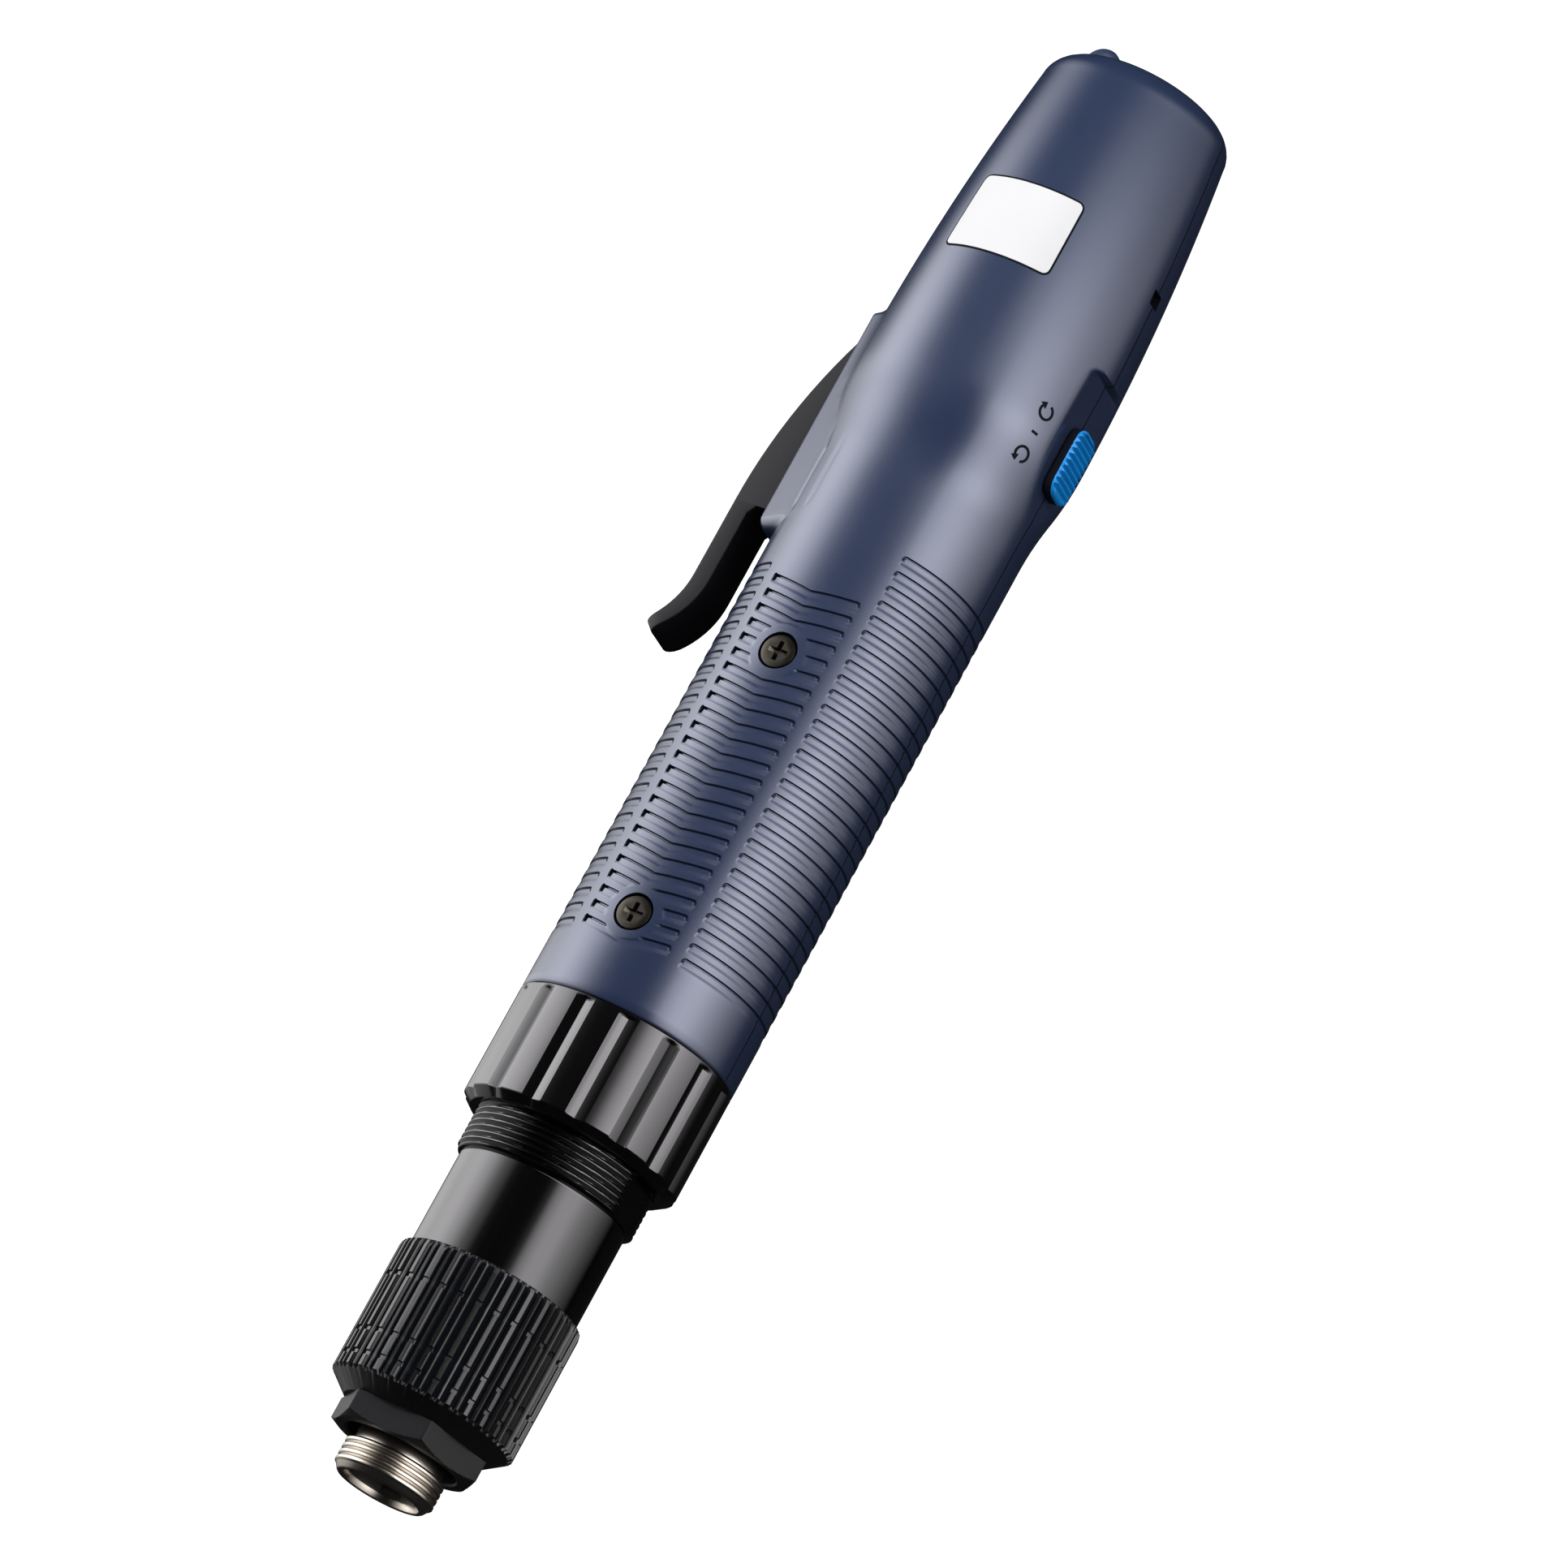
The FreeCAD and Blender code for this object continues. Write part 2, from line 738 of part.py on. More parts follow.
def make_clutch_cam():
    body = node("clutch_cam")
    hub = s.hub_dia / 2 + s.close_fit
    revolve(body, "disc", tube(CAM_START, CAM_END, hub, s.clutch_dia / 2))
    orbit = s.clutch_ball_circle / 2
    seat = prism(body, "ball_seat", "YZ_Plane", CAM_START - s.air,
                 s.ball_seat_depth + s.air + s.close_fit,
                 [Round(orbit, 0, s.clutch_ball_dia / 2 + s.close_fit)], cut=True)
    around(body, seat, s.clutch_ball_count)


def make_clutch_balls():
    balls = []
    count = int(SIZES["clutch_ball_count"])
    for index in range(count):
        angle = 2 * math.pi * index / count
        ball = doc.addObject("Part::Sphere", f"clutch_ball_{index + 1}")
        bind(ball, "Radius", s.clutch_ball_dia / 2)
        bind(ball, "Placement.Base.x", BALL_PLACE)
        bind(ball, "Placement.Base.y", s.clutch_ball_circle / 2 * math.cos(angle))
        bind(ball, "Placement.Base.z", s.clutch_ball_circle / 2 * math.sin(angle))
        balls.append(ball)
    group = doc.addObject("Part::Compound", "clutch_balls")
    group.Links = balls
    parts["clutch_balls"] = group


def make_clutch_case():
    body = node("clutch_case")
    tube_radius = s.tube_dia / 2
    step = RING_START + s.ring_lip + s.thread_play
    skirt_end = RING_END - s.thread_play
    socket_radius = NOSE_RADIUS + s.thread_play
    nose_floor = CASE_START - s.thread_play
    thread = s.thread_dia / 2
    revolve(body, "case", [
        (TUBE_START, TUBE_BORE), (TUBE_START, tube_radius - s.air),
        (TUBE_START + s.air, tube_radius), (THREAD_START, tube_radius),
        (THREAD_START, thread - s.air), (THREAD_START + s.air, thread),
        (step, thread), (step, s.skirt_dia / 2), (skirt_end, s.skirt_dia / 2),
        (skirt_end, socket_radius), (nose_floor, socket_radius), (nose_floor, TUBE_BORE)])


def make_front_collar():
    body = node("front_collar")
    lip_end = RING_START + s.ring_lip
    bore = s.skirt_dia / 2 + s.thread_play
    lip = s.thread_dia / 2 + s.thread_play
    revolve(body, "ring", [
        (RING_START, lip), (RING_START, GRIP - s.ring_round),
        (RING_START + s.air, GRIP - s.ring_round / 2), (RING_START + s.ring_round, GRIP),
        (RING_END - s.air, GRIP), (RING_END, GRIP - s.air),
        (RING_END, bore), (lip_end, bore), (lip_end, lip)])
    flute = prism(body, "flute", "YZ_Plane", RING_START, s.ring_length - s.flute_tail,
                  [Round(0, GRIP + s.flute_radius - s.flute_depth, s.flute_radius)], cut=True)
    around(body, flute, s.flute_count)


# Gear train

def gear_outline(teeth, top, foot, backlash, phase):
    """Corners of an involute gear of straight-sided facets, two to a flank."""
    module = SIZES["gear_module"]
    pressure = math.radians(20)
    pitch = teeth * module / 2
    base = pitch * math.cos(pressure)
    half = math.pi / (2 * teeth) - backlash / (2 * pitch)
    swing = math.tan(pressure) - pressure
    flank = []
    for radius in (pitch - foot, (pitch + base) / 2, pitch + top / 2, pitch + top):
        lean = math.acos(min(base / radius, 1))
        flank.append((radius, half + swing - (math.tan(lean) - lean)))
    corners = []
    for tooth in range(teeth):
        middle = phase + 2 * math.pi * tooth / teeth
        corners += [(radius, middle - lean) for radius, lean in flank]
        corners += [(radius, middle + lean) for radius, lean in reversed(flank)]
    return corners


def gear_face(corners, x, y, z):
    points = [V(x, y + r * math.cos(a), z + r * math.sin(a)) for r, a in corners]
    return Part.Face(Part.makePolygon(points + points[:1]))


def bored(face, x, y, z, radius):
    hole = Part.Wire(Part.makeCircle(radius, V(x, y, z), V(1, 0, 0)))
    return face.cut(Part.Face(hole))


def make_gears():
    sun_teeth = int(SIZES["sun_teeth"])
    planet_teeth = int(SIZES["planet_teeth"])
    ring_teeth = sun_teeth + 2 * planet_teeth
    top, foot, backlash = SIZES["tooth_top"], SIZES["tooth_foot"], SIZES["tooth_backlash"]
    start, width = PLANET_START.number, SIZES["planet_width"]
    sun = gear_face(gear_outline(sun_teeth, top, foot, backlash, 0), start, 0, 0)
    sun = bored(sun, start, 0, 0, (s.shaft_dia / 2 + s.close_fit).number)
    parts["sun_pinion"] = shaped("sun_pinion", sun.extrude(V(width, 0, 0)))
    for index in range(int(SIZES["planet_count"])):
        angle = 2 * math.pi * index / SIZES["planet_count"]
        orbit = PLANET_ORBIT.number
        y, z = orbit * math.cos(angle), orbit * math.sin(angle)
        phase = angle + math.pi + math.pi / planet_teeth
        face = gear_face(gear_outline(planet_teeth, top, foot, backlash, phase), start, y, z)
        face = bored(face, start, y, z, (s.planet_pin_dia / 2 + s.running).number)
        label = f"planet_gear_{index + 1}"
        parts[label] = shaped(label, face.extrude(V(width, 0, 0)))
    begin = RING_GEAR_START.number
    spaces = gear_outline(ring_teeth, foot, top, -backlash, math.pi / ring_teeth)
    rim = Part.makeCircle(SIZES["ring_gear_dia"] / 2, V(begin, 0, 0), V(1, 0, 0))
    band = Part.Face(Part.Wire(rim)).cut(gear_face(spaces, begin, 0, 0))
    length = (CASE_END - RING_GEAR_START - s.thread_play).number
    parts["ring_gear"] = shaped("ring_gear", band.extrude(V(length, 0, 0)))


def make_planet_carrier():
    body = node("planet_carrier")
    bore = s.spindle_pilot_dia / 2 + s.close_fit
    hub = s.hub_dia / 2
    revolve(body, "hub", [
        (CAM_START, bore), (CAM_START, hub), (CARRIER_START, hub),
        (CARRIER_START, s.carrier_dia / 2), (CARRIER_END, s.carrier_dia / 2), (CARRIER_END, bore)])
    hole = prism(body, "pin_hole", "YZ_Plane", CARRIER_START - s.air, s.carrier_thickness + s.air * 2,
                 [Round(PLANET_ORBIT, 0, s.planet_pin_dia / 2 + s.close_fit)], cut=True)
    around(body, hole, s.planet_count)


def make_planet_pins():
    body = node_group("planet_pins")
    start = CARRIER_START + s.air
    pin = prism(body, "pin", "YZ_Plane", start, PLANET_END + s.air * 2 - start,
                [Round(PLANET_ORBIT, 0, s.planet_pin_dia / 2)])
    around(body, pin, s.planet_count)


def make_gear_case():
    body = node("gear_case")
    seat = s.bearing_dia / 2 + s.close_fit
    seat_end = BEARING_START + s.bearing_width + s.close_fit
    lip = s.bearing_dia / 2 - s.shell_wall / 2
    relief = s.carrier_dia / 2 + s.air * 2
    ring_bore = s.ring_gear_dia / 2 + s.close_fit
    ring_start = RING_GEAR_START - s.close_fit
    lip_end = seat_end + s.case_lip
    revolve(body, "case", [
        (CASE_START, seat), (CASE_START, NOSE_RADIUS), (CASE_STEP, NOSE_RADIUS),
        (CASE_STEP, CASE_RADIUS), (CASE_END, CASE_RADIUS), (CASE_END, ring_bore),
        (ring_start, ring_bore), (ring_start, relief), (lip_end, relief),
        (lip_end, lip), (seat_end, lip), (seat_end, seat)])
    pilot = s.screw_dia / 2 + s.close_fit
    prism(body, "screw_holes", "XY_Plane", -GRIP, s.grip_dia, [Round(FRONT_SCREW, 0, pilot)], cut=True)


def make_case_bearing():
    revolve(node("case_bearing"), "ring", tube(
        BEARING_START, BEARING_START + s.bearing_width,
        s.hub_dia / 2 + s.running, s.bearing_dia / 2))


# Motor

def make_motor_can():
    body = node("motor_can")
    wall_end = MOTOR_START + s.can_front
    boss_end = wall_end + s.motor_bearing_width + s.thread_play
    seat = s.motor_bearing_dia / 2 + s.close_fit
    boss = seat + s.bearing_boss_wall
    inside = MOTOR - s.can_wall
    hole = s.shaft_dia / 2 + s.air
    revolve(body, "cup", [
        (MOTOR_START, hole), (MOTOR_START, MOTOR), (CAN_END, MOTOR), (CAN_END, inside),
        (wall_end, inside), (wall_end, boss), (boss_end, boss), (boss_end, seat),
        (wall_end, seat), (wall_end, hole)])


def make_motor_end_cap():
    body = node("motor_end_cap")
    boss_start = CAN_END - s.motor_bearing_width - s.thread_play
    seat = s.motor_bearing_dia / 2 + s.close_fit
    boss = seat + s.bearing_boss_wall
    hole = s.shaft_dia / 2 + s.air
    revolve(body, "cap", [
        (CAN_END, hole), (CAN_END, seat), (boss_start, seat), (boss_start, boss),
        (CAN_END, boss), (CAN_END, MOTOR), (MOTOR_END, MOTOR), (MOTOR_END, hole)])


def make_motor_bearings():
    front = MOTOR_START + s.can_front
    rear = CAN_END - s.motor_bearing_width
    for label, start in (("front_motor_bearing", front), ("rear_motor_bearing", rear)):
        revolve(node(label), "ring", tube(start, start + s.motor_bearing_width,
                                          s.shaft_dia / 2 + s.running, s.motor_bearing_dia / 2))


def make_rotor():
    middle = MOTOR_START + s.motor_length / 2
    shaft = s.shaft_dia / 2
    revolve(node("motor_shaft"), "shaft", [
        (PLANET_START, 0), (PLANET_START, shaft), (MOTOR_END - s.air, shaft), (MOTOR_END - s.air, 0)])
    revolve(node("rotor_magnet"), "magnet", tube(
        middle - s.magnet_length / 2, middle + s.magnet_length / 2,
        shaft + s.close_fit, s.magnet_dia / 2))


def make_stator():
    middle = MOTOR_START + s.motor_length / 2
    bore = s.stator_bore / 2
    start = middle - s.stator_length / 2
    body = node("stator")
    revolve(body, "stack", tube(start, start + s.stator_length, bore, MOTOR - s.can_wall - s.close_fit))
    half = s.slot_width / 2
    floor = bore + s.slot_depth
    slot = prism(body, "slot", "YZ_Plane", start, s.stator_length,
                 [box(bore - s.air * 3, floor, -half, half)], cut=True)
    around(body, slot, s.slot_count)
    coils = node_group("stator_coils")
    half = half - s.running
    length = s.stator_length + 2 * s.coil_overhang
    bar = prism(coils, "bar", "YZ_Plane", start - s.coil_overhang, length,
                [box(bore + s.air, floor - s.running, -half, half)])
    around(coils, bar, s.slot_count)


def make_motor_clamp():
    body = node("motor_clamp")
    start = REAR_SCREW - s.clamp_length / 2
    revolve(body, "ring", tube(start, start + s.clamp_length, MOTOR + s.close_fit, CASE_RADIUS))
    pilot = s.screw_dia / 2 + s.close_fit
    prism(body, "screw_holes", "XY_Plane", -GRIP, s.grip_dia, [Round(REAR_SCREW, 0, pilot)], cut=True)


# Electronics

def make_board():
    far = s.board_edge - s.board_width
    board = node("control_board")
    prism(board, "board", "XY_Plane", BOARD_FLOOR, s.board_thickness,
          [box(BOARD_START, BOARD_END, far, s.board_edge)])
    tray = node("board_carrier")
    prism(tray, "tray", "XY_Plane", TRAY_FLOOR, s.tray_thickness,
          [box(BOARD_START, BOARD_END, far, FENCE_FACE)])
    fence_start = PIVOT - s.lever_spring_place - s.fence_front
    fence_end = PIVOT - s.magnet_place + s.fence_rear
    prism(tray, "fence", "XY_Plane", TRAY_FLOOR, s.fence_height - TRAY_FLOOR,
          [box(fence_start, fence_end, FENCE_FACE - s.fence_thickness, FENCE_FACE)])
    top = TRAY_FLOOR + s.tray_thickness / 2
    for index, place in enumerate((BOARD_START + s.board_gap, BOARD_END - s.board_gap), start=1):
        prism(tray, f"leg_{index}", "YZ_Plane", place, s.tray_leg_thickness,
              [box(-s.tray_leg_out, s.tray_leg_in, -s.tray_leg_reach, top)])
    sensor = node("hall_sensor")
    middle = PIVOT - s.magnet_place
    half = s.sensor_length / 2
    prism(sensor, "chip", "XY_Plane", -half, s.sensor_length,
          [box(middle - half, middle + half, FENCE_FACE, FENCE_FACE + s.sensor_thickness)])


def make_direction_switch():
    knob_start = s.flat_height + s.air - s.stem_depth
    face = -(knob_start - s.knob_depth - s.running)
    half = s.slider_length / 2
    body = node("direction_switch")
    prism(body, "case", "XY_Plane", BOARD_TOP, s.switch_height,
          [box(SLIDER - half, SLIDER + half, face, face + s.switch_depth)])
    knob = node("switch_knob")
    reach = s.knob_length / 2
    prism(knob, "knob", "XY_Plane", -reach, s.knob_length,
          [box(SLIDER - reach, SLIDER + reach, face - s.running - s.knob_depth, face - s.running)])


def make_leads():
    level = BOARD_FLOOR + s.board_thickness / 2
    wires = node_group("motor_leads")
    prism(wires, "wires", "YZ_Plane", MOTOR_END, s.board_gap,
          [Round(s.lead_pitch * (k - 2), level, s.lead_dia / 2) for k in range(3)])
    socket_back = REAR + s.socket_stand - s.socket_length
    wires = node_group("socket_leads")
    prism(wires, "wires", "YZ_Plane", BOARD_END, socket_back - BOARD_END,
          [Round(s.lead_pitch * (k - 1) - s.socket_side, level, s.lead_dia / 2) for k in range(3)])


def make_power_socket():
    body = node("power_socket")
    front = REAR + s.socket_stand
    back = front - s.socket_length
    flange_end = REAR - s.rear_wall - s.thread_play
    flange_start = flange_end - s.socket_flange
    radius = s.socket_dia / 2
    flange = s.socket_flange_dia / 2
    mouth = s.socket_mouth_dia / 2
    floor = front - s.socket_mouth_depth
    revolve(body, "shell", [
        (back, 0), (back, radius), (flange_start, radius), (flange_start, flange),
        (flange_end, flange), (flange_end, radius), (front, radius), (front, mouth),
        (floor, mouth), (floor, 0)])
    bind(body, "Placement.Base.y", -s.socket_side)
    pins = node_group("socket_pins")
    pin = prism(pins, "pin", "YZ_Plane", floor, s.socket_pin_length,
                [Round(s.socket_pin_circle / 2, 0, s.socket_pin_dia / 2)])
    around(pins, pin, s.socket_pin_count)
    bind(pins, "Placement.Base.y", -s.socket_side)


def make_hang_ear():
    """Tab with a hole, held in a slot of the rear wall by a foot inside it."""
    body = node("hang_ear")
    half = s.ear_width / 2
    hole = REAR + s.ear_reach
    side = s.ear_side
    foot_end = REAR - s.rear_wall - s.running
    foot_start = foot_end - s.ear_foot
    prism(body, "tab", "XY_Plane", -s.ear_thickness / 2, s.ear_thickness, [
        [(foot_start, side - half), (hole, side - half, half, LEFT), (hole + half, side, half, LEFT),
         (hole, side + half), (foot_end, side + half), (foot_end, side + half + s.ear_heel),
         (foot_start, side + half + s.ear_heel)],
        Round(hole, side, s.ear_hole_dia / 2)])


# Start lever and direction slider

def lever_floor(ahead):
    """Height of the arm's lower edge at a distance ahead of the pivot."""
    drop = s.pivot_height - s.pivot_boss
    return drop + (s.arm_floor - drop) * ahead / s.arm_length


def make_start_lever():
    body = node("start_lever")
    boss = s.pivot_boss
    arm = PIVOT - s.arm_length
    top = s.paddle_height
    under = top - s.paddle_thickness
    flat_start = arm - s.paddle_thickness / 2
    curl = flat_start - s.paddle_flat
    tip_radius = bow(s.tip_run, s.tip_rise)
    lean = s.tip_run / tip_radius
    upright = (tip_radius - s.tip_rise) / tip_radius
    tip_x = curl - s.tip_run
    tip_y = top + s.tip_rise
    inner_x = tip_x - s.paddle_tip_thickness * lean
    inner_y = tip_y - s.paddle_tip_thickness * upright
    inner_radius = bow(curl - inner_x, inner_y - under)
    heel_x = PIVOT - boss / 2
    heel_y = s.pivot_height + s.heel_rise
    crest_radius = bow(heel_x - arm, top - heel_y)
    slant = boss * math.sqrt(0.5)
    prism(body, "profile", "XY_Plane", -s.lever_width / 2, s.lever_width, [[
        (tip_x, tip_y, tip_radius, LEFT), (curl, top), (arm, top, crest_radius, RIGHT),
        (heel_x, heel_y), (PIVOT + slant, s.pivot_height + slant, boss, RIGHT),
        (PIVOT, s.pivot_height - boss), (arm, s.arm_floor), (arm, under - s.paddle_step),
        (flat_start, under), (curl, under, inner_radius, RIGHT), (inner_x, inner_y)]])
    prism(body, "pin_bore", "XY_Plane", -s.lever_width, 2 * s.lever_width,
          [Round(PIVOT, s.pivot_height, s.lever_pin_dia / 2 + s.running)], cut=True)
    seat = lever_floor(s.magnet_place) + s.lever_magnet_thickness + s.close_fit
    prism(body, "magnet_seat", "XZ_Plane", -seat, s.lever_magnet_thickness * 2,
          [Round(PIVOT - s.magnet_place, 0, s.lever_magnet_dia / 2 + s.close_fit)], cut=True)
    magnet = node("lever_magnet")
    prism(magnet, "disc", "XZ_Plane", s.close_fit - seat, s.lever_magnet_thickness,
          [Round(PIVOT - s.magnet_place, 0, s.lever_magnet_dia / 2)])
    pin = node("lever_pin")
    prism(pin, "pin", "XY_Plane", -s.lever_pin_length / 2, s.lever_pin_length,
          [Round(PIVOT, s.pivot_height, s.lever_pin_dia / 2)])


def rounded_box(x, half_length, half_width, corner):
    """Rectangle centred on (x, 0) with arcs at its four corners."""
    x0, x1 = x - half_length, x + half_length
    return [(x0 + corner, -half_width), (x1 - corner, -half_width, corner, LEFT),
            (x1, corner - half_width), (x1, half_width - corner, corner, LEFT),
            (x1 - corner, half_width), (x0 + corner, half_width, corner, LEFT),
            (x0, half_width - corner), (x0, corner - half_width, corner, LEFT)]


def make_direction_slider():
    body = node("direction_slider")
    half = s.slider_length / 2
    floor = s.flat_height + s.air
    prism(body, "cap", "XZ_Plane", floor, s.slider_height,
          [rounded_box(SLIDER, half, s.slider_width / 2, s.slider_corner)])
    reach, side = s.stem_length / 2, s.stem_width / 2
    prism(body, "stem", "XZ_Plane", floor - s.stem_depth, s.stem_depth + s.slider_height / 2,
          [box(SLIDER - reach, SLIDER + reach, -side, side)])
    pitch = s.slider_length / (s.slider_ribs + 1)
    first = SLIDER - half + pitch * 0.75
    crest = floor + s.slider_height
    gap = prism(body, "rib_gap", "XZ_Plane", crest - s.slider_rib_depth, s.slider_height,
                [box(first, first + pitch / 2, -s.slider_width, s.slider_width)], cut=True)
    along(body, gap, s.slider_ribs, pitch)


# Housing halves

def shell_profile():
    wall = s.shell_wall
    lip = NOSE_RADIUS + s.thread_play
    rise = (BELLY_RADIUS - GRIP) / 2
    run = s.flare_length / 2
    flare = bow(run, rise)
    sag = bow(s.tail_length, BELLY_RADIUS - TAIL_RADIUS)
    inside = REAR - s.rear_wall
    return [
        (HOUSE_START, lip), (HOUSE_START, GRIP), (GRIP_END, GRIP, flare, LEFT),
        (GRIP_END + run, GRIP + rise, flare, RIGHT), (BELLY, BELLY_RADIUS, sag, RIGHT),
        (TAIL, TAIL_RADIUS, s.tail_round, RIGHT), (REAR, TAIL_RADIUS - s.tail_round),
        (REAR, 0), (inside, 0), (inside, TAIL_RADIUS - wall), (BELLY, BELLY_RADIUS - wall),
        (GRIP_END, GRIP - wall), (HOUSE_START + s.lip_length, GRIP - wall),
        (HOUSE_START + s.lip_length, lip)]


def add_lever_hump(body):
    start = HOUSE_START + s.hump_start
    end = start + s.hump_length
    top, half = s.hump_height, s.hump_half_width
    back = s.hump_round * math.tan(math.pi / 8)
    diagonal = back * math.sqrt(0.5)
    drop = s.hump_foot - half
    prism(body, "hump", "YZ_Plane", start, s.hump_length, [[
        (top - s.hump_wall, 0), (top, 0), (top, half - back, s.hump_round, LEFT),
        (top - diagonal, half + diagonal), (top - drop, s.hump_foot),
        (top - drop - s.hump_wall, s.hump_foot - s.air * 2)]])
    prism(body, "hump_slope", "XY_Plane", 0, s.hump_foot * 2, [[
        (end - s.hump_slope, top + s.air), (end, top - s.hump_slope),
        (end + s.air, top + s.air)]], cut=True)
    slot_start = PIVOT - s.arm_length - s.slot_play * 3
    slot_end = PIVOT + s.pivot_boss + s.slot_play
    prism(body, "lever_slot", "XY_Plane", 0, s.lever_width / 2 + s.slot_play,
          [box(slot_start, slot_end, GRIP / 2, top + s.air)], cut=True)
    prism(body, "pin_hole", "XY_Plane", 0, s.lever_pin_length / 2 + s.close_fit,
          [Round(PIVOT, s.pivot_height, s.lever_pin_dia / 2 + s.close_fit)], cut=True)


def add_slider_flat(body):
    end = HOUSE_START + s.flat_end
    start = end - s.flat_length
    corner, half = s.flat_corner, s.flat_half_width
    prism(body, "slider_flat", "XZ_Plane", s.flat_height, BELLY_RADIUS, [[
        (start, -corner), (end, -corner), (end, half - corner, corner, LEFT),
        (end - corner, half), (start, half)]], cut=True)
    reach = s.stem_length / 2 + s.slider_travel + s.slot_play
    side = s.stem_width / 2 + s.slot_play
    prism(body, "stem_slot", "XZ_Plane", GRIP / 2, GRIP,
          [box(SLIDER - reach, SLIDER + reach, -side, side)], cut=True)


def add_rear_end(body):
    prism(body, "socket_hole", "YZ_Plane", REAR - s.rear_wall * 2, s.rear_wall * 3,
          [Round(-s.socket_side, 0, s.socket_dia / 2 + s.thread_play)], cut=True)
    half = s.ear_width / 2 + s.close_fit
    low, high = s.ear_side - half, s.ear_side + half
    prism(body, "ear_slot", "XY_Plane", 0, s.ear_thickness / 2 + s.close_fit,
          [box(REAR - s.rear_wall * 2, REAR + s.rear_wall, low, high)], cut=True)
    middle = HOUSE_START + s.notch_place
    half = s.notch_length / 2
    floor, mouth = s.notch_depth - s.notch_reach, -s.notch_depth - s.notch_reach
    prism(body, "pry_notch", "XY_Plane", 0, s.notch_height,
          [box(middle - half, middle + half, mouth, floor)], cut=True)


def add_screw_holes(body):
    places = (FRONT_SCREW, REAR_SCREW)
    prism(body, "screw_holes", "XY_Plane", GRIP / 2, GRIP,
          [Round(x, 0, s.screw_dia / 2 + s.air) for x in places], cut=True)
    prism(body, "screw_heads", "XY_Plane", SCREW_SEAT, GRIP,
          [Round(x, 0, s.screw_head_dia / 2 + s.air) for x in places], cut=True)


def add_side_grooves(body):
    first = HOUSE_START + s.groove_start
    half = s.groove_width / 2
    for name, side, count in (("lever_grooves", 1, s.lever_side_grooves),
                              ("slider_grooves", -1, s.slider_side_grooves)):
        mouth, floor = side * (GRIP + s.close_fit), side * (GRIP - s.groove_depth)
        groove = revolve(body, name, [(first - half, mouth), (first, floor), (first + half, mouth)],
                         s.side_band_angle, cut=True, backwards=side < 0)
        along(body, groove, count, s.groove_pitch)


def make_housing():
    upper = node("housing_upper")
    revolve(upper, "shell", shell_profile(), 180)
    add_lever_hump(upper)
    add_slider_flat(upper)
    add_rear_end(upper)
    add_screw_holes(upper)
    add_side_grooves(upper)
    mirror = doc.addObject("Part::Mirroring", "housing_lower")
    mirror.Source = upper
    mirror.Normal = V(0, 0, 1)
    parts["housing_lower"] = mirror


def make_housing_screws():
    body = node_group("housing_screws")
    places = (FRONT_SCREW, REAR_SCREW)
    head = prism(body, "heads", "XY_Plane", SCREW_SEAT, s.screw_head_height,
                 [Round(x, 0, s.screw_head_dia / 2) for x in places])
    shank = prism(body, "shanks", "XY_Plane", SCREW_TIP, s.screw_length,
                  [Round(x, 0, s.screw_dia / 2) for x in places])
    half, side = s.recess_span / 2, s.recess_width / 2
    floor = SCREW_SEAT + s.screw_head_height - s.recess_depth
    crosses = [[(x - half, -side), (x - side, -side), (x - side, -half), (x + side, -half),
                (x + side, -side), (x + half, -side), (x + half, side), (x + side, side),
                (x + side, half), (x - side, half), (x - side, side), (x - half, side)] for x in places]
    recess = prism(body, "recesses", "XY_Plane", floor, s.screw_head_height, crosses, cut=True)
    mirrored(body, [head, shank, recess], "XY_Plane")


def check_document():
    """Stop before anything is written if a feature failed or a piece is not sound."""
    for thing in doc.Objects:
        if "Invalid" in thing.State or "Error" in thing.State:
            raise RuntimeError(f"{thing.Name} did not build: {thing.State}")
    for label, piece in parts.items():
        if piece.Shape.isNull() or not piece.Shape.isValid() or not piece.Shape.Solids:
            raise RuntimeError(f"{label} has no sound shape")


def main():
    make_bit_collar()
    make_spindle()
    make_collar_clip()
    make_bit_balls()
    make_springs()
    make_torque_nut()
    make_nose_bush()
    make_clutch_rings()
    make_clutch_plate()
    make_clutch_cam()
    make_clutch_balls()
    make_clutch_case()
    make_front_collar()
    make_gears()
    make_planet_carrier()
    make_planet_pins()
    make_gear_case()
    make_case_bearing()
    make_motor_can()
    make_motor_end_cap()
    make_motor_bearings()
    make_rotor()
    make_stator()
    make_motor_clamp()
    make_board()
    make_direction_switch()
    make_leads()
    make_power_socket()
    make_hang_ear()
    make_start_lever()
    make_direction_slider()
    make_housing()
    make_housing_screws()
    doc.recompute()
    check_document()
    os.makedirs("parts", exist_ok=True)
    for label, piece in parts.items():
        piece.Shape.exportStep(f"parts/{label}.step")


main()
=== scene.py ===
# The looks of a lever-start electric screwdriver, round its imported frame.
# Shapes are worked out in millimetres, and a mesh is scaled to metres as it is made. The stage is in metres.
# Angles round the spindle run from the lever side (+Y) over the crown (+Z) to the slider side (-Y).
import math
import bmesh
import bpy
import numpy as np
from mathutils import Matrix, Vector


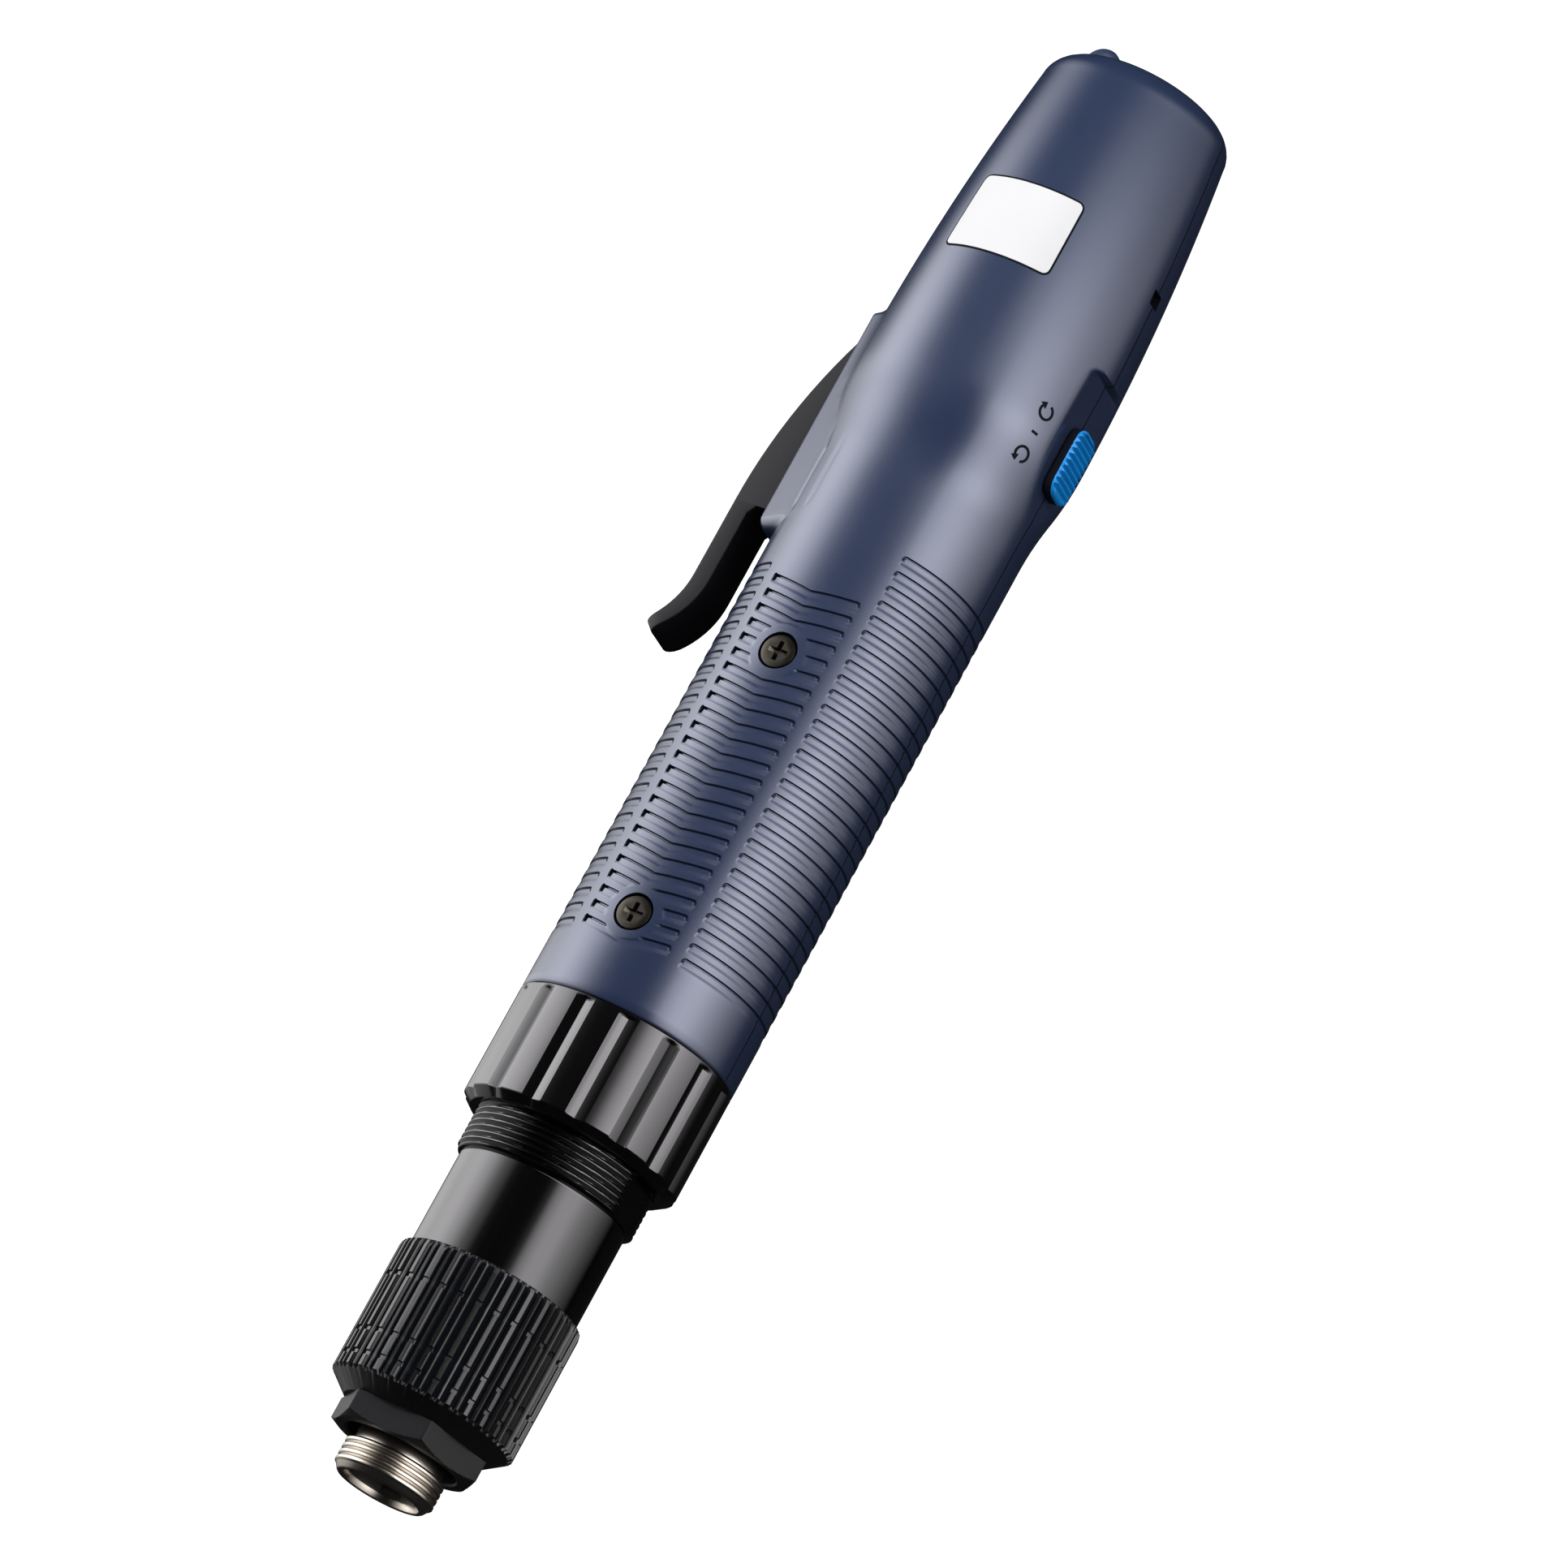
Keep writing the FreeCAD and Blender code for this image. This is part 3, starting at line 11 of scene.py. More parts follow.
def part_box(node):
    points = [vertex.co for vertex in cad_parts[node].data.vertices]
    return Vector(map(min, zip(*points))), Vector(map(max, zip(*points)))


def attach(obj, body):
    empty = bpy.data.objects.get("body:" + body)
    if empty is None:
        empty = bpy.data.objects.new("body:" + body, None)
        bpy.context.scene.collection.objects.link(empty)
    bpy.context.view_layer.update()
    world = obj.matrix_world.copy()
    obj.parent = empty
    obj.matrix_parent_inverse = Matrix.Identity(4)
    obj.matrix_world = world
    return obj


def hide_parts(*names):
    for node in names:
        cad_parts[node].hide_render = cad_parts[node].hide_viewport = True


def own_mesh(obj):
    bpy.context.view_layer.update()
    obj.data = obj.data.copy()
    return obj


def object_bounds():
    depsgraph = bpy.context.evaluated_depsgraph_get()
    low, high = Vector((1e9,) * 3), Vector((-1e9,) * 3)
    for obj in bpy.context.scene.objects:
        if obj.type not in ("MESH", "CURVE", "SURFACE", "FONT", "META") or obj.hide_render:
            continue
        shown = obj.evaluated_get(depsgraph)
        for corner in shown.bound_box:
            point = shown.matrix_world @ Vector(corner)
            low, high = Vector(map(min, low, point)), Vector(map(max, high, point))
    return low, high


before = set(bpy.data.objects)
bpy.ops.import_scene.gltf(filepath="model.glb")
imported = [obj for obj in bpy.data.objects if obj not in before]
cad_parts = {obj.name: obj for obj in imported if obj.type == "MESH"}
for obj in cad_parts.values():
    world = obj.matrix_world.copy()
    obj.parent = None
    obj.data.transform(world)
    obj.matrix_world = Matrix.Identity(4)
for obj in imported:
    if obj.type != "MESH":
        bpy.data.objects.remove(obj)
cad_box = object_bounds()
MM = 0.001
X, Y, Z = 0, 1, 2


def reach(node, axis):
    """Lowest and highest place of a CAD node along one axis, in millimetres."""
    low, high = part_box(node)
    return low[axis] / MM, high[axis] / MM


# Places, from the frame
SKIRT_END = reach("bit_collar", X)[1]
HEX_FRONT, NUT_END = reach("torque_nut", X)
TUBE_FRONT, CASE_END = reach("clutch_case", X)
RING_FRONT, RING_END = reach("front_collar", X)
HOUSE_FRONT, REAR = reach("housing_upper", X)
SLIDER_FRONT, SLIDER_REAR = reach("direction_slider", X)
EAR_TIP = reach("hang_ear", X)[1]
SOCKET_SIDE = sum(reach("power_socket", Y)) / 2
FLOOR = cad_box[0].z / MM

# Radii, all but the grip's from the frame
COLLAR = reach("bit_collar", Z)[1]
NUT = reach("torque_nut", Z)[1]
SKIRT = reach("clutch_case", Z)[1]
GRIP = 18.0
BELLY = reach("housing_upper", Z)[1]


# Meshes

CORNER_SHARE = 0.45
LEAST_COS = 0.2


def add_object(name, data):
    thing = bpy.data.objects.new(name, data)
    bpy.context.scene.collection.objects.link(thing)
    return thing


def shade(mesh, sharp):
    mesh.shade_smooth()
    mesh.set_sharp_from_angle(angle=math.radians(sharp))


def add_mesh(name, shape, sharp=40):
    """Object from (points, faces), smooth but for edges sharper than the angle given."""
    points, faces = shape
    mesh = bpy.data.meshes.new(name)
    mesh.from_pydata((np.asarray(points, float) * MM).tolist(), [], faces)
    work = bmesh.new()
    work.from_mesh(mesh)
    bmesh.ops.recalc_face_normals(work, faces=work.faces)
    work.to_mesh(mesh)
    work.free()
    shade(mesh, sharp)
    return add_object(name, mesh)


def mirror(mesh):
    """Turn a mesh into its mirror image across the parting plane."""
    mesh.transform(Matrix.Scale(-1, 4, Vector((0, 0, 1))))
    mesh.flip_normals()


def dress(thing, body, finish, *replaced):
    """Give a piece its finish and its body, and hide the CAD nodes it stands for."""
    thing.data.materials.clear()
    thing.data.materials.append(FINISHES[finish])
    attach(thing, body)
    if replaced:
        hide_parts(*replaced)


def grid_faces(rows, columns, first=0, close_rows=False, close_columns=False):
    faces = []
    for i in range(rows if close_rows else rows - 1):
        for j in range(columns if close_columns else columns - 1):
            here, below = first + i * columns, first + (i + 1) % rows * columns
            after = (j + 1) % columns
            faces.append((here + j, here + after, below + after, below + j))
    return faces


def border(rows, columns):
    """Numbers of the points round the edge of a grid, in order."""
    return [*range(columns), *[(row + 1) * columns - 1 for row in range(1, rows)],
            *[(rows - 1) * columns + column for column in reversed(range(columns - 1))],
            *[row * columns for row in reversed(range(1, rows - 1))]]


def band(loop, other):
    """Faces between two closed loops of point numbers."""
    pairs = list(zip(loop, other))
    return [(a, b, d, c) for (a, c), (b, d) in zip(pairs, pairs[1:] + pairs[:1])]


def stack(loops):
    """Skin over equal loops, one after the other, with a face over each end."""
    count = len(loops[0])
    points = [tuple(point) for loop in loops for point in loop]
    faces = grid_faces(len(loops), count, close_columns=True)
    faces.append(tuple(range(count)))
    faces.append(tuple(range(len(points) - count, len(points))))
    return points, faces


def gather(*shapes):
    """Several shapes as one."""
    points, faces = [], []
    for more_points, more_faces in shapes:
        first = len(points)
        points += list(more_points)
        faces += [tuple(first + corner for corner in face) for face in more_faces]
    return points, faces


def ring(centre, radius, axis, count=48):
    """Circle of points round a line through centre along X, Y or Z."""
    loop = []
    for step in range(count):
        angle = 2 * math.pi * step / count
        place = [0.0, 0.0, 0.0]
        place[(axis + 1) % 3] = radius * math.cos(angle)
        place[(axis + 2) % 3] = radius * math.sin(angle)
        loop.append(tuple(c + p for c, p in zip(centre, place)))
    return loop


def block(x, y, z):
    """Box between pairs of limits."""
    return stack([[(x[0], y[0], level), (x[1], y[0], level), (x[1], y[1], level), (x[0], y[1], level)]
                  for level in z])


def cut_away(thing, cutters, sharp):
    """Take closed cutters out of a piece."""
    knife = add_mesh("knife", cutters)
    step = thing.modifiers.new("cut", "BOOLEAN")
    step.operation = "DIFFERENCE"
    step.solver = "MANIFOLD"
    step.object = knife
    bpy.context.view_layer.update()
    graph = bpy.context.evaluated_depsgraph_get()
    result = bpy.data.meshes.new_from_object(thing.evaluated_get(graph))
    thing.modifiers.clear()
    thing.data = result
    bpy.data.objects.remove(knife)
    shade(result, sharp)


def soften(corners, radius, steps=3):
    """Round the corners of a closed outline."""
    points = [Vector(corner) for corner in corners]
    path = []
    for index, point in enumerate(points):
        before = points[index - 1] - point
        after = points[(index + 1) % len(points)] - point
        start = point + before.normalized() * min(radius, CORNER_SHARE * before.length)
        end = point + after.normalized() * min(radius, CORNER_SHARE * after.length)
        for step in range(steps + 1):
            t = step / steps
            path.append(tuple(start * (1 - t) ** 2 + point * (2 * t * (1 - t)) + end * t ** 2))
    return path


def spun(x, radius, angle):
    """Grid of points at places along the spindle, distances from it and angles round it."""
    return np.stack(np.broadcast_arrays(x, radius * np.cos(angle), radius * np.sin(angle)), axis=2)


def lathe(profile, angles, shaped=None):
    """Turn a closed profile of (x, radius) about the spindle; shaped(x, radius, angle) alters the radius."""
    x, radius = np.array(profile, float).T[:, :, None]
    angle = np.asarray(angles, float)
    if shaped:
        radius = shaped(x, radius, angle)
    points = spun(x, radius, angle)
    faces = grid_faces(*points.shape[:2], close_rows=True, close_columns=True)
    return points.reshape(-1, 3).tolist(), faces


def turns(count):
    return np.linspace(0, 2 * math.pi, count, endpoint=False)


def ramp(value, low, high):
    """Smooth step from 0 at low to 1 at high."""
    t = np.clip((value - low) / (high - low), 0, 1)
    return t * t * (3 - 2 * t)


# Materials

FINISHES = {}
SOCKETS = {"metallic": "Metallic", "specular": "Specular IOR Level", "specular_tint": "Specular Tint"}
CLOUD_GRAINS = 15
LEAST_ROUGH = 0.02
TURNED = (1, 0.03, 0.03)


def put(node, values):
    """Set inputs of a node by name."""
    for socket, value in values.items():
        node.inputs[socket].default_value = value
    return node


def node_material(name):
    material = bpy.data.materials.new(name)
    material.use_nodes = True
    return material, material.node_tree.nodes, material.node_tree.links


def surface(name, colour, rough, grain, mottle, uneven, relief, stretch=(1, 1, 1), **sockets):
    """Finish with mottled colour, uneven gloss and a relief of grain bumps to the metre, relief mm deep."""
    material, nodes, links = node_material(name)
    shader = put(nodes["Principled BSDF"], {SOCKETS[socket]: value for socket, value in sockets.items()})
    place = nodes.new("ShaderNodeTexCoord")
    spread = put(nodes.new("ShaderNodeMapping"), {"Scale": stretch})
    links.new(place.outputs["Object"], spread.inputs["Vector"])
    clouds = put(nodes.new("ShaderNodeTexNoise"), {"Scale": grain / CLOUD_GRAINS, "Detail": 4})
    fine = put(nodes.new("ShaderNodeTexNoise"), {"Scale": grain, "Detail": 2})
    for texture in (clouds, fine):
        links.new(spread.outputs["Vector"], texture.inputs["Vector"])
    tint = nodes.new("ShaderNodeMix")
    tint.data_type = "RGBA"
    put(tint, {"A": (*[c * (1 - mottle) for c in colour], 1),
               "B": (*[min(c * (1 + mottle), 1) for c in colour], 1)})
    links.new(clouds.outputs["Fac"], tint.inputs["Factor"])
    links.new(tint.outputs["Result"], shader.inputs["Base Color"])
    gloss = put(nodes.new("ShaderNodeMapRange"),
                {"To Min": max(rough - uneven, LEAST_ROUGH), "To Max": rough + uneven})
    links.new(clouds.outputs["Fac"], gloss.inputs["Value"])
    links.new(gloss.outputs["Result"], shader.inputs["Roughness"])
    bump = put(nodes.new("ShaderNodeBump"), {"Strength": 1.0, "Distance": relief * MM})
    links.new(fine.outputs["Fac"], bump.inputs["Height"])
    links.new(bump.outputs["Normal"], shader.inputs["Normal"])
    FINISHES[name] = material


surface("housing_blue", (0.0085, 0.0135, 0.031), 0.24, 1800, 0.06, 0.02, 0.003,
        specular=0.95, specular_tint=(0.82, 0.85, 1, 1))
surface("front_black", (0.0012, 0.0012, 0.0014), 0.15, 600, 0.2, 0.02, 0.001,
        specular=0.8, specular_tint=(1, 0.97, 1, 1))
surface("case_black", (0.0012, 0.0011, 0.0012), 0.11, 600, 0.2, 0.02, 0.001,
        specular=0.64, specular_tint=(1, 0.97, 1, 1))
surface("nut_black", (0.002, 0.002, 0.0023), 0.36, 2600, 0.25, 0.06, 0.012, specular=0.52)
surface("collar_nickel", (0.5, 0.455, 0.40), 0.25, 2500, 0.06, 0.04, 0.002, TURNED, metallic=1)
surface("lever_grey", (0.006, 0.006, 0.0078), 0.5, 2400, 0.12, 0.05, 0.006, specular=0.28)
surface("slider_blue", (0.002, 0.118, 0.335), 0.3, 1800, 0.1, 0.04, 0.003)
surface("screw_dark", (0.055, 0.05, 0.042), 0.36, 3000, 0.3, 0.1, 0.006, metallic=1)
surface("steel", (0.15, 0.14, 0.13), 0.34, 2500, 0.1, 0.06, 0.003, TURNED, metallic=1)
surface("spring_steel", (0.2, 0.2, 0.21), 0.34, 2000, 0.12, 0.06, 0.003, metallic=1)
surface("bronze", (0.42, 0.24, 0.11), 0.4, 2200, 0.15, 0.06, 0.006, metallic=1)
surface("copper", (0.62, 0.25, 0.12), 0.35, 1200, 0.12, 0.06, 0.02, (0.1, 1, 1), metallic=1)
surface("magnet", (0.10, 0.10, 0.11), 0.42, 1800, 0.15, 0.06, 0.004, metallic=1)
surface("core", (0.16, 0.16, 0.17), 0.5, 2500, 0.15, 0.06, 0.02, (1, 0.02, 0.02), metallic=1)
surface("case_metal", (0.38, 0.38, 0.39), 0.38, 2200, 0.1, 0.06, 0.004, TURNED, metallic=1)
surface("inner_plastic", (0.012, 0.012, 0.013), 0.5, 1600, 0.15, 0.05, 0.006)
surface("board", (0.012, 0.085, 0.03), 0.42, 1200, 0.2, 0.06, 0.006)
surface("wire_red", (0.34, 0.015, 0.012), 0.4, 1200, 0.1, 0.05, 0.004)
surface("contact", (0.70, 0.52, 0.22), 0.28, 2000, 0.1, 0.05, 0.002, metallic=1)
surface("label_white", (0.285, 0.285, 0.29), 0.45, 1400, 0.03, 0.05, 0.002, specular=0.2)
surface("hex_matte", (0.007, 0.007, 0.008), 0.5, 2600, 0.2, 0.06, 0.012, specular=0.2)
# painted_shade_dark is a near-black finish that paints shade where it falls: in the housing's seam, notch,
# screw wells and crown pits, between the nut's ribs, on the slider's lower walls, round the label and on the
# rotation marks.
surface("painted_shade_dark", (0.0025, 0.003, 0.005), 0.8, 1400, 0.1, 0.05, 0.004, specular=0.08)


def centres(mesh):
    """Middle of each face, in millimetres, as rows of x, y and z."""
    middles = np.empty(3 * len(mesh.polygons))
    mesh.polygons.foreach_get("center", middles)
    return middles.reshape(-1, 3).T / MM


def finish_faces(thing, *choices):
    """Give chosen faces of a piece other finishes than its own."""
    numbers = np.zeros(len(thing.data.polygons), int)
    for finish, chosen in choices:
        numbers[chosen] = len(thing.data.materials)
        thing.data.materials.append(FINISHES[finish])
    thing.data.polygons.foreach_set("material_index", numbers)


def dress_inner_nodes():
    """Give each CAD node that stays the finish of its own slot."""
    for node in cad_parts.values():
        for slot in node.material_slots:
            slot.material = FINISHES[slot.material.name.split(".")[0]]


# Bit collar

RIDGES, RIDGE_STEPS, RIDGE_DEPTH = 4, 10, 0.4
RIM_BEVEL, COLLAR_END = 0.9, 5.1
COLLAR_STOP, COLLAR_LAND = 2.0, 4.2
MOUTH, COLLAR_BORE = 6.4, 5.7
SKIRT_BORE, SKIRT_OUTSIDE = 6.8, 7.2


def make_bit_collar():
    pitch = (COLLAR_END - RIM_BEVEL) / RIDGES
    ridges = []
    for step in range(RIDGES * RIDGE_STEPS + 1):
        wave = (1 + math.cos(2 * math.pi * step / RIDGE_STEPS)) / 2
        ridges.append((RIM_BEVEL + pitch * step / RIDGE_STEPS, COLLAR - RIDGE_DEPTH * wave ** 3))
    rim = COLLAR - RIM_BEVEL
    profile = [(0.15, MOUTH), (0, MOUTH + 0.15), (0, rim - 0.2), (0.2, rim + 0.05), *ridges,
               (COLLAR_END, SKIRT_OUTSIDE), (SKIRT_END - 0.1, SKIRT_OUTSIDE),
               (SKIRT_END, SKIRT_OUTSIDE - 0.1), (SKIRT_END, SKIRT_BORE), (COLLAR_LAND, SKIRT_BORE),
               (COLLAR_LAND, COLLAR_BORE), (COLLAR_STOP, COLLAR_BORE), (COLLAR_STOP, MOUTH)]
    collar = add_mesh("ridged_bit_collar", lathe(profile, turns(128)), sharp=50)
    dress(collar, "collar", "collar_nickel", "bit_collar")


# Springs

TORQUE_WIRE, TORQUE_COIL, TORQUE_TURNS = 1.6, 9.6, 4
SPLIT_TURN, SPLIT_GAP = 3, 0.004
WIRE_STEPS = 32
SEAT_TRAVEL, CLUTCH_TRAVEL, COLLAR_TRAVEL, LEVER_TRAVEL = 9.0, 0.9, 2.5, 2.3


def shorten(spring):
    """Give a spring a mesh of its own."""
    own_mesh(spring)


def make_springs():
    """The torque spring is made in two pieces."""
    front, rear = reach("torque_spring", X)
    start = front + TORQUE_WIRE / 2
    pitch = (rear - front - TORQUE_WIRE) / TORQUE_TURNS

    def wound(first, last):
        loops = []
        for turn in np.linspace(first, last, round((last - first) * WIRE_STEPS) + 1):
            angle = 2 * math.pi * turn
            section = ring((0, TORQUE_COIL, 0), TORQUE_WIRE / 2, Z, 12)
            along = start + pitch * turn
            loops.append([(along + x, y * math.cos(angle), y * math.sin(angle)) for x, y, _ in section])
        return stack(loops)

    rear_span = (SPLIT_TURN + SPLIT_GAP, TORQUE_TURNS)
    for name, span, joint, end, travel in (
            ("torque_spring_front", (0, SPLIT_TURN), "seat_slide", front, SEAT_TRAVEL),
            ("torque_spring_rear", rear_span, "clutch_lift", rear, CLUTCH_TRAVEL)):
        spring = add_mesh(name, wound(*span))
        dress(spring, "base", "spring_steel", "torque_spring")
        shorten(spring)
    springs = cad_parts
    front, rear = reach("collar_spring", X)
    shorten(springs["collar_spring"])
    shorten(springs["lever_spring"])


# Torque nut

HEX_FLATS = 22.0
HEX_SLOPE = 2.0
HEX_TURN = math.radians(6.7)
HEX_BEVEL = 0.9
NUT_START = 10.6
NUT_MOUTH = 11.8
NUT_CONE = 2.8
NUT_CHAMFER = 1.2
NUT_BORE, NUT_SKIRT, NUT_SLEEVE = 9.25, 14.3, 12.2
POCKET_START, SLEEVE_END = 16.1, 35.1
RIB_PAIRS = 30
RIB_STEPS = 20
RIB_DEPTH = 0.85
RIB_FLANK = (0.03, 0.19)
PAINTED_SHADE_RIB_SHARE = 0.6
SECOND_GROOVE = 0.42
RIB_BREAKS = (15.6, 19.5, 29.0)
BREAK_STEPS, BREAK_FADE = (-0.42, -0.3, 0.3, 0.42), (0.28, 0.4)


def hex_radius(angle):
    """Radius of a hexagon with a corner a little above the lever side."""
    turn = np.mod(angle - HEX_TURN, math.pi / 3) - math.pi / 6
    return HEX_FLATS / 2 / np.cos(turn)


def make_torque_nut():
    hex_rows = [HEX_FRONT + HEX_BEVEL * step / 6 for step in range(7)] + [NUT_START - 0.1, NUT_START]
    cone_end = NUT_START + NUT_CONE
    rows = [cone_end - 0.5, cone_end, cone_end + 0.3]
    for place in RIB_BREAKS:
        rows += [place + step for step in BREAK_STEPS]
    rows += [NUT_END - NUT_CHAMFER - 0.3, NUT_END - NUT_CHAMFER]
    profile = [(x, HEX_FLATS / 2) for x in hex_rows] + [(NUT_START, NUT_MOUTH)]
    rise = NUT - NUT_MOUTH
    profile += [(x, min(NUT, NUT_MOUTH + rise * (x - NUT_START) / NUT_CONE)) for x in sorted(rows)]
    profile += [(NUT_END - 0.4, NUT - 0.15), (NUT_END, NUT - RIB_DEPTH), (NUT_END, NUT_SKIRT),
                (POCKET_START, NUT_SKIRT), (POCKET_START, NUT_SLEEVE), (SLEEVE_END, NUT_SLEEVE),
                (SLEEVE_END, NUT_BORE), (HEX_FRONT + 0.3, NUT_BORE), (HEX_FRONT, NUT_BORE + 0.3)]

    def ribbed(x, radius, angle):
        share = np.mod(angle / (2 * math.pi) * RIB_PAIRS, 1)
        narrow = np.minimum(share, 1 - share)
        wide = np.abs(share - SECOND_GROOVE)
        groove = 1 - np.minimum(ramp(narrow, *RIB_FLANK), ramp(wide, *RIB_FLANK))
        nearest = np.min([np.abs(x - place) for place in RIB_BREAKS], axis=0)
        notch = (1 - ramp(nearest, *BREAK_FADE)) * (share > SECOND_GROOVE)
        cut = RIB_DEPTH * np.maximum(groove, 0.5 * notch)
        start = ramp(x, cone_end - 0.4, cone_end)
        outside = (radius > NUT_SKIRT + 0.2) & (x > cone_end - 0.6) & (x < NUT_END - 0.01)
        radius = np.where(outside, np.maximum(radius - cut * start, NUT_SKIRT + 0.1), radius)
        on_hex = (x <= NUT_START) & (radius > NUT_BORE + 1) & (radius < HEX_FLATS / 2 + 0.01)
        bevel = HEX_FLATS / 2 + HEX_SLOPE * (x - HEX_FRONT)
        return np.where(on_hex, np.minimum(hex_radius(angle), bevel), radius)

    nut = add_mesh("ribbed_torque_nut", lathe(profile, turns(RIB_PAIRS * RIB_STEPS), ribbed), sharp=32)
    dress(nut, "nut", "nut_black", "torque_nut")
    x, y, z = centres(nut.data)
    radius = np.hypot(y, z)
    # Groove floors between the nut's ribs get painted shade.
    painted_shade_between_ribs = (radius > NUT_SKIRT) & (radius < NUT - PAINTED_SHADE_RIB_SHARE * RIB_DEPTH)
    painted_shade_between_ribs &= (x > cone_end) & (x < NUT_END - 0.3)
    finish_faces(nut, ("painted_shade_dark", painted_shade_between_ribs), ("hex_matte", x < NUT_START))


# Clutch case: gloss tube, accessory thread and skirt

TUBE, TUBE_BORE = 14.0, 12.3
THREAD_START, THREAD_END = 51.6, 59.6
THREAD_PITCH, THREAD_STEEP, THREAD_ROWS = 1.05, 1.25, 112
THREAD_CREST, THREAD_ROOT = 15.0, 14.35
THREAD_FLAT, FLAT_SIDES = 14.2, (0, math.pi)
STEP = 61.5
SOCKET_START, SOCKET_RADIUS = 69.3, 14.28


def make_clutch_case():
    rows = np.linspace(THREAD_START + 0.1, THREAD_END, THREAD_ROWS)
    profile = [(TUBE_FRONT, TUBE_BORE), (TUBE_FRONT, TUBE - 0.3), (TUBE_FRONT + 0.3, TUBE),
               (TUBE_FRONT + 0.5, TUBE), (THREAD_START - 0.5, TUBE), (THREAD_START - 0.3, TUBE),
               (THREAD_START, TUBE - 0.12), *[(x, THREAD_CREST) for x in rows], (STEP, THREAD_CREST),
               (STEP, SKIRT), (CASE_END, SKIRT), (CASE_END, SOCKET_RADIUS), (SOCKET_START, SOCKET_RADIUS),
               (SOCKET_START, TUBE_BORE)]

    def threaded(x, radius, angle):
        turn = (x - THREAD_START) / THREAD_PITCH - angle / (2 * math.pi)
        height = np.abs(2 * np.mod(turn, 1) - 1)
        lead = ramp(x, THREAD_START, THREAD_START + 0.5)
        ridge = THREAD_ROOT + (THREAD_CREST - THREAD_ROOT) * np.minimum(THREAD_STEEP * height, 1) * lead
        for side in FLAT_SIDES:
            ridge = np.minimum(ridge, THREAD_FLAT / np.maximum(np.cos(angle - side), LEAST_COS))
        on_thread = (x > THREAD_START) & (x <= THREAD_END) & (radius > TUBE)
        return np.where(on_thread, ridge, radius)

    case = add_mesh("threaded_clutch_case", lathe(profile, turns(192), threaded), sharp=50)
    dress(case, "base", "case_black", "clutch_case")


# Fluted front collar

FLUTES = 15
FLUTE_HALF = math.radians(5.3)
FLUTE_DEPTH = 0.62
FLUTE_END = RING_END - 0.32
RING_LIP, RING_LIP_END, RING_BORE = 15.1, 61.4, 16.6
FLUTE_FADE = 0.6
FLUTE_STEPS = (0, 0.3, 0.8, 1.8, 3, 4.2, 5.0, 5.3, 5.6, 6.2, 7.5, 9.5)


def make_front_collar():
    rows = [FLUTE_END - FLUTE_FADE, FLUTE_END - 0.4, FLUTE_END - 0.2, FLUTE_END]
    profile = [(RING_FRONT, RING_LIP), (RING_FRONT, GRIP - 1.7), (RING_FRONT + 0.1, GRIP - 1.5),
               (RING_FRONT + 1.2, GRIP - 0.1), (RING_FRONT + 1.35, GRIP), *[(x, GRIP) for x in rows],
               (RING_END - 0.25, GRIP), (RING_END - 0.1, GRIP - 0.05), (RING_END, GRIP - 0.2),
               (RING_END, RING_BORE), (RING_LIP_END, RING_BORE), (RING_LIP_END, RING_LIP)]
    steps = [-180 / FLUTES, *[-step for step in reversed(FLUTE_STEPS[1:])], *FLUTE_STEPS]
    angles = [math.radians(90 + 360 / FLUTES * flute + step) for flute in range(FLUTES) for step in steps]

    def fluted(x, radius, angle):
        swing = 2 * math.pi / FLUTES
        off = np.mod(angle - math.pi / 2 + swing / 2, swing) - swing / 2
        ending = 1 - ramp(x, FLUTE_END - FLUTE_FADE, FLUTE_END)
        depth = FLUTE_DEPTH * np.clip(1 - np.abs(off) / FLUTE_HALF, 0, 1) * ending
        return np.where(radius > RING_BORE, np.minimum(radius, GRIP - depth), radius)

    collar = add_mesh("fluted_front_collar", lathe(profile, angles, fluted), sharp=14)
    dress(collar, "base", "front_black", "front_collar")


# Housing shells

GRIP_END = 174.0
BELLY_PLACE = 192.5
TAIL = 16.1
TAIL_ROUND = 4.2
TAIL_PLACE = REAR - TAIL_ROUND
SHELL_WALL, REAR_WALL = 2.0, 2.5
LIP_END, LIP = 80.3, 14.28
PARTING, SEAM, SEAM_HALF = 0.3, 89.35, 0.15
GROOVE_PITCH = 2.67
CHEVRON_START, SIDE_SHIFT = 89.1, 0.7
CHEVRONS, SLIDER_GROOVES, LEVER_GROOVES = 24, 28, 25
CHEVRON_EDGE, SIDE_EDGE = 26.0, 32.7
CHEVRON_SWEEP = 1.4
POCKET_DEPTH, POCKET_ROUND, POCKET_SLOPE = 0.1, 0.7, (1.15, 1.85)
LINE_DEPTH, LINE_WALL, LINE_FADE, LINE_ALONG = 0.36, (0, 0.13), (0.26, 0.42), (0.5, 1)
PIT_DEPTH, PIT_RADIUS, PIT_PLACE, PIT_REACH = 1.3, 0.36, 0.6, 0.3
PIT_EDGE, PIT_SPAN = 0.45, (23, 26.5)
SCOOP_DEPTH, SCOOP_ACROSS, SCOOP_ALONG = 0.15, (0.5, 2.6), (0.3, 1.4)
GROOVE_STEPS = (1.9, 1.72, 1.55, 1.4, 1.25, 1.1, 0.92, 0.73, 0.55,
                0.44, 0.37, 0.31, 0.25, 0.14, 0.07, 0.0, -0.1, -0.35)
SCREW_PLACES = (92.8, 139.6)
ISLAND = 4.5
HUMP_START, HUMP_SLOPE_START = 161.0, 201.0
HUMP_TOP, HUMP_HALF, HUMP_FOOT = 20.2, 7.0, (12.5, 12.95)
HUMP_FRONT_ROUND, HUMP_FRONT_DROP = 2.4, 2.8
HUMP_BLEND, FOOT_BLEND = 0.5, 0.3
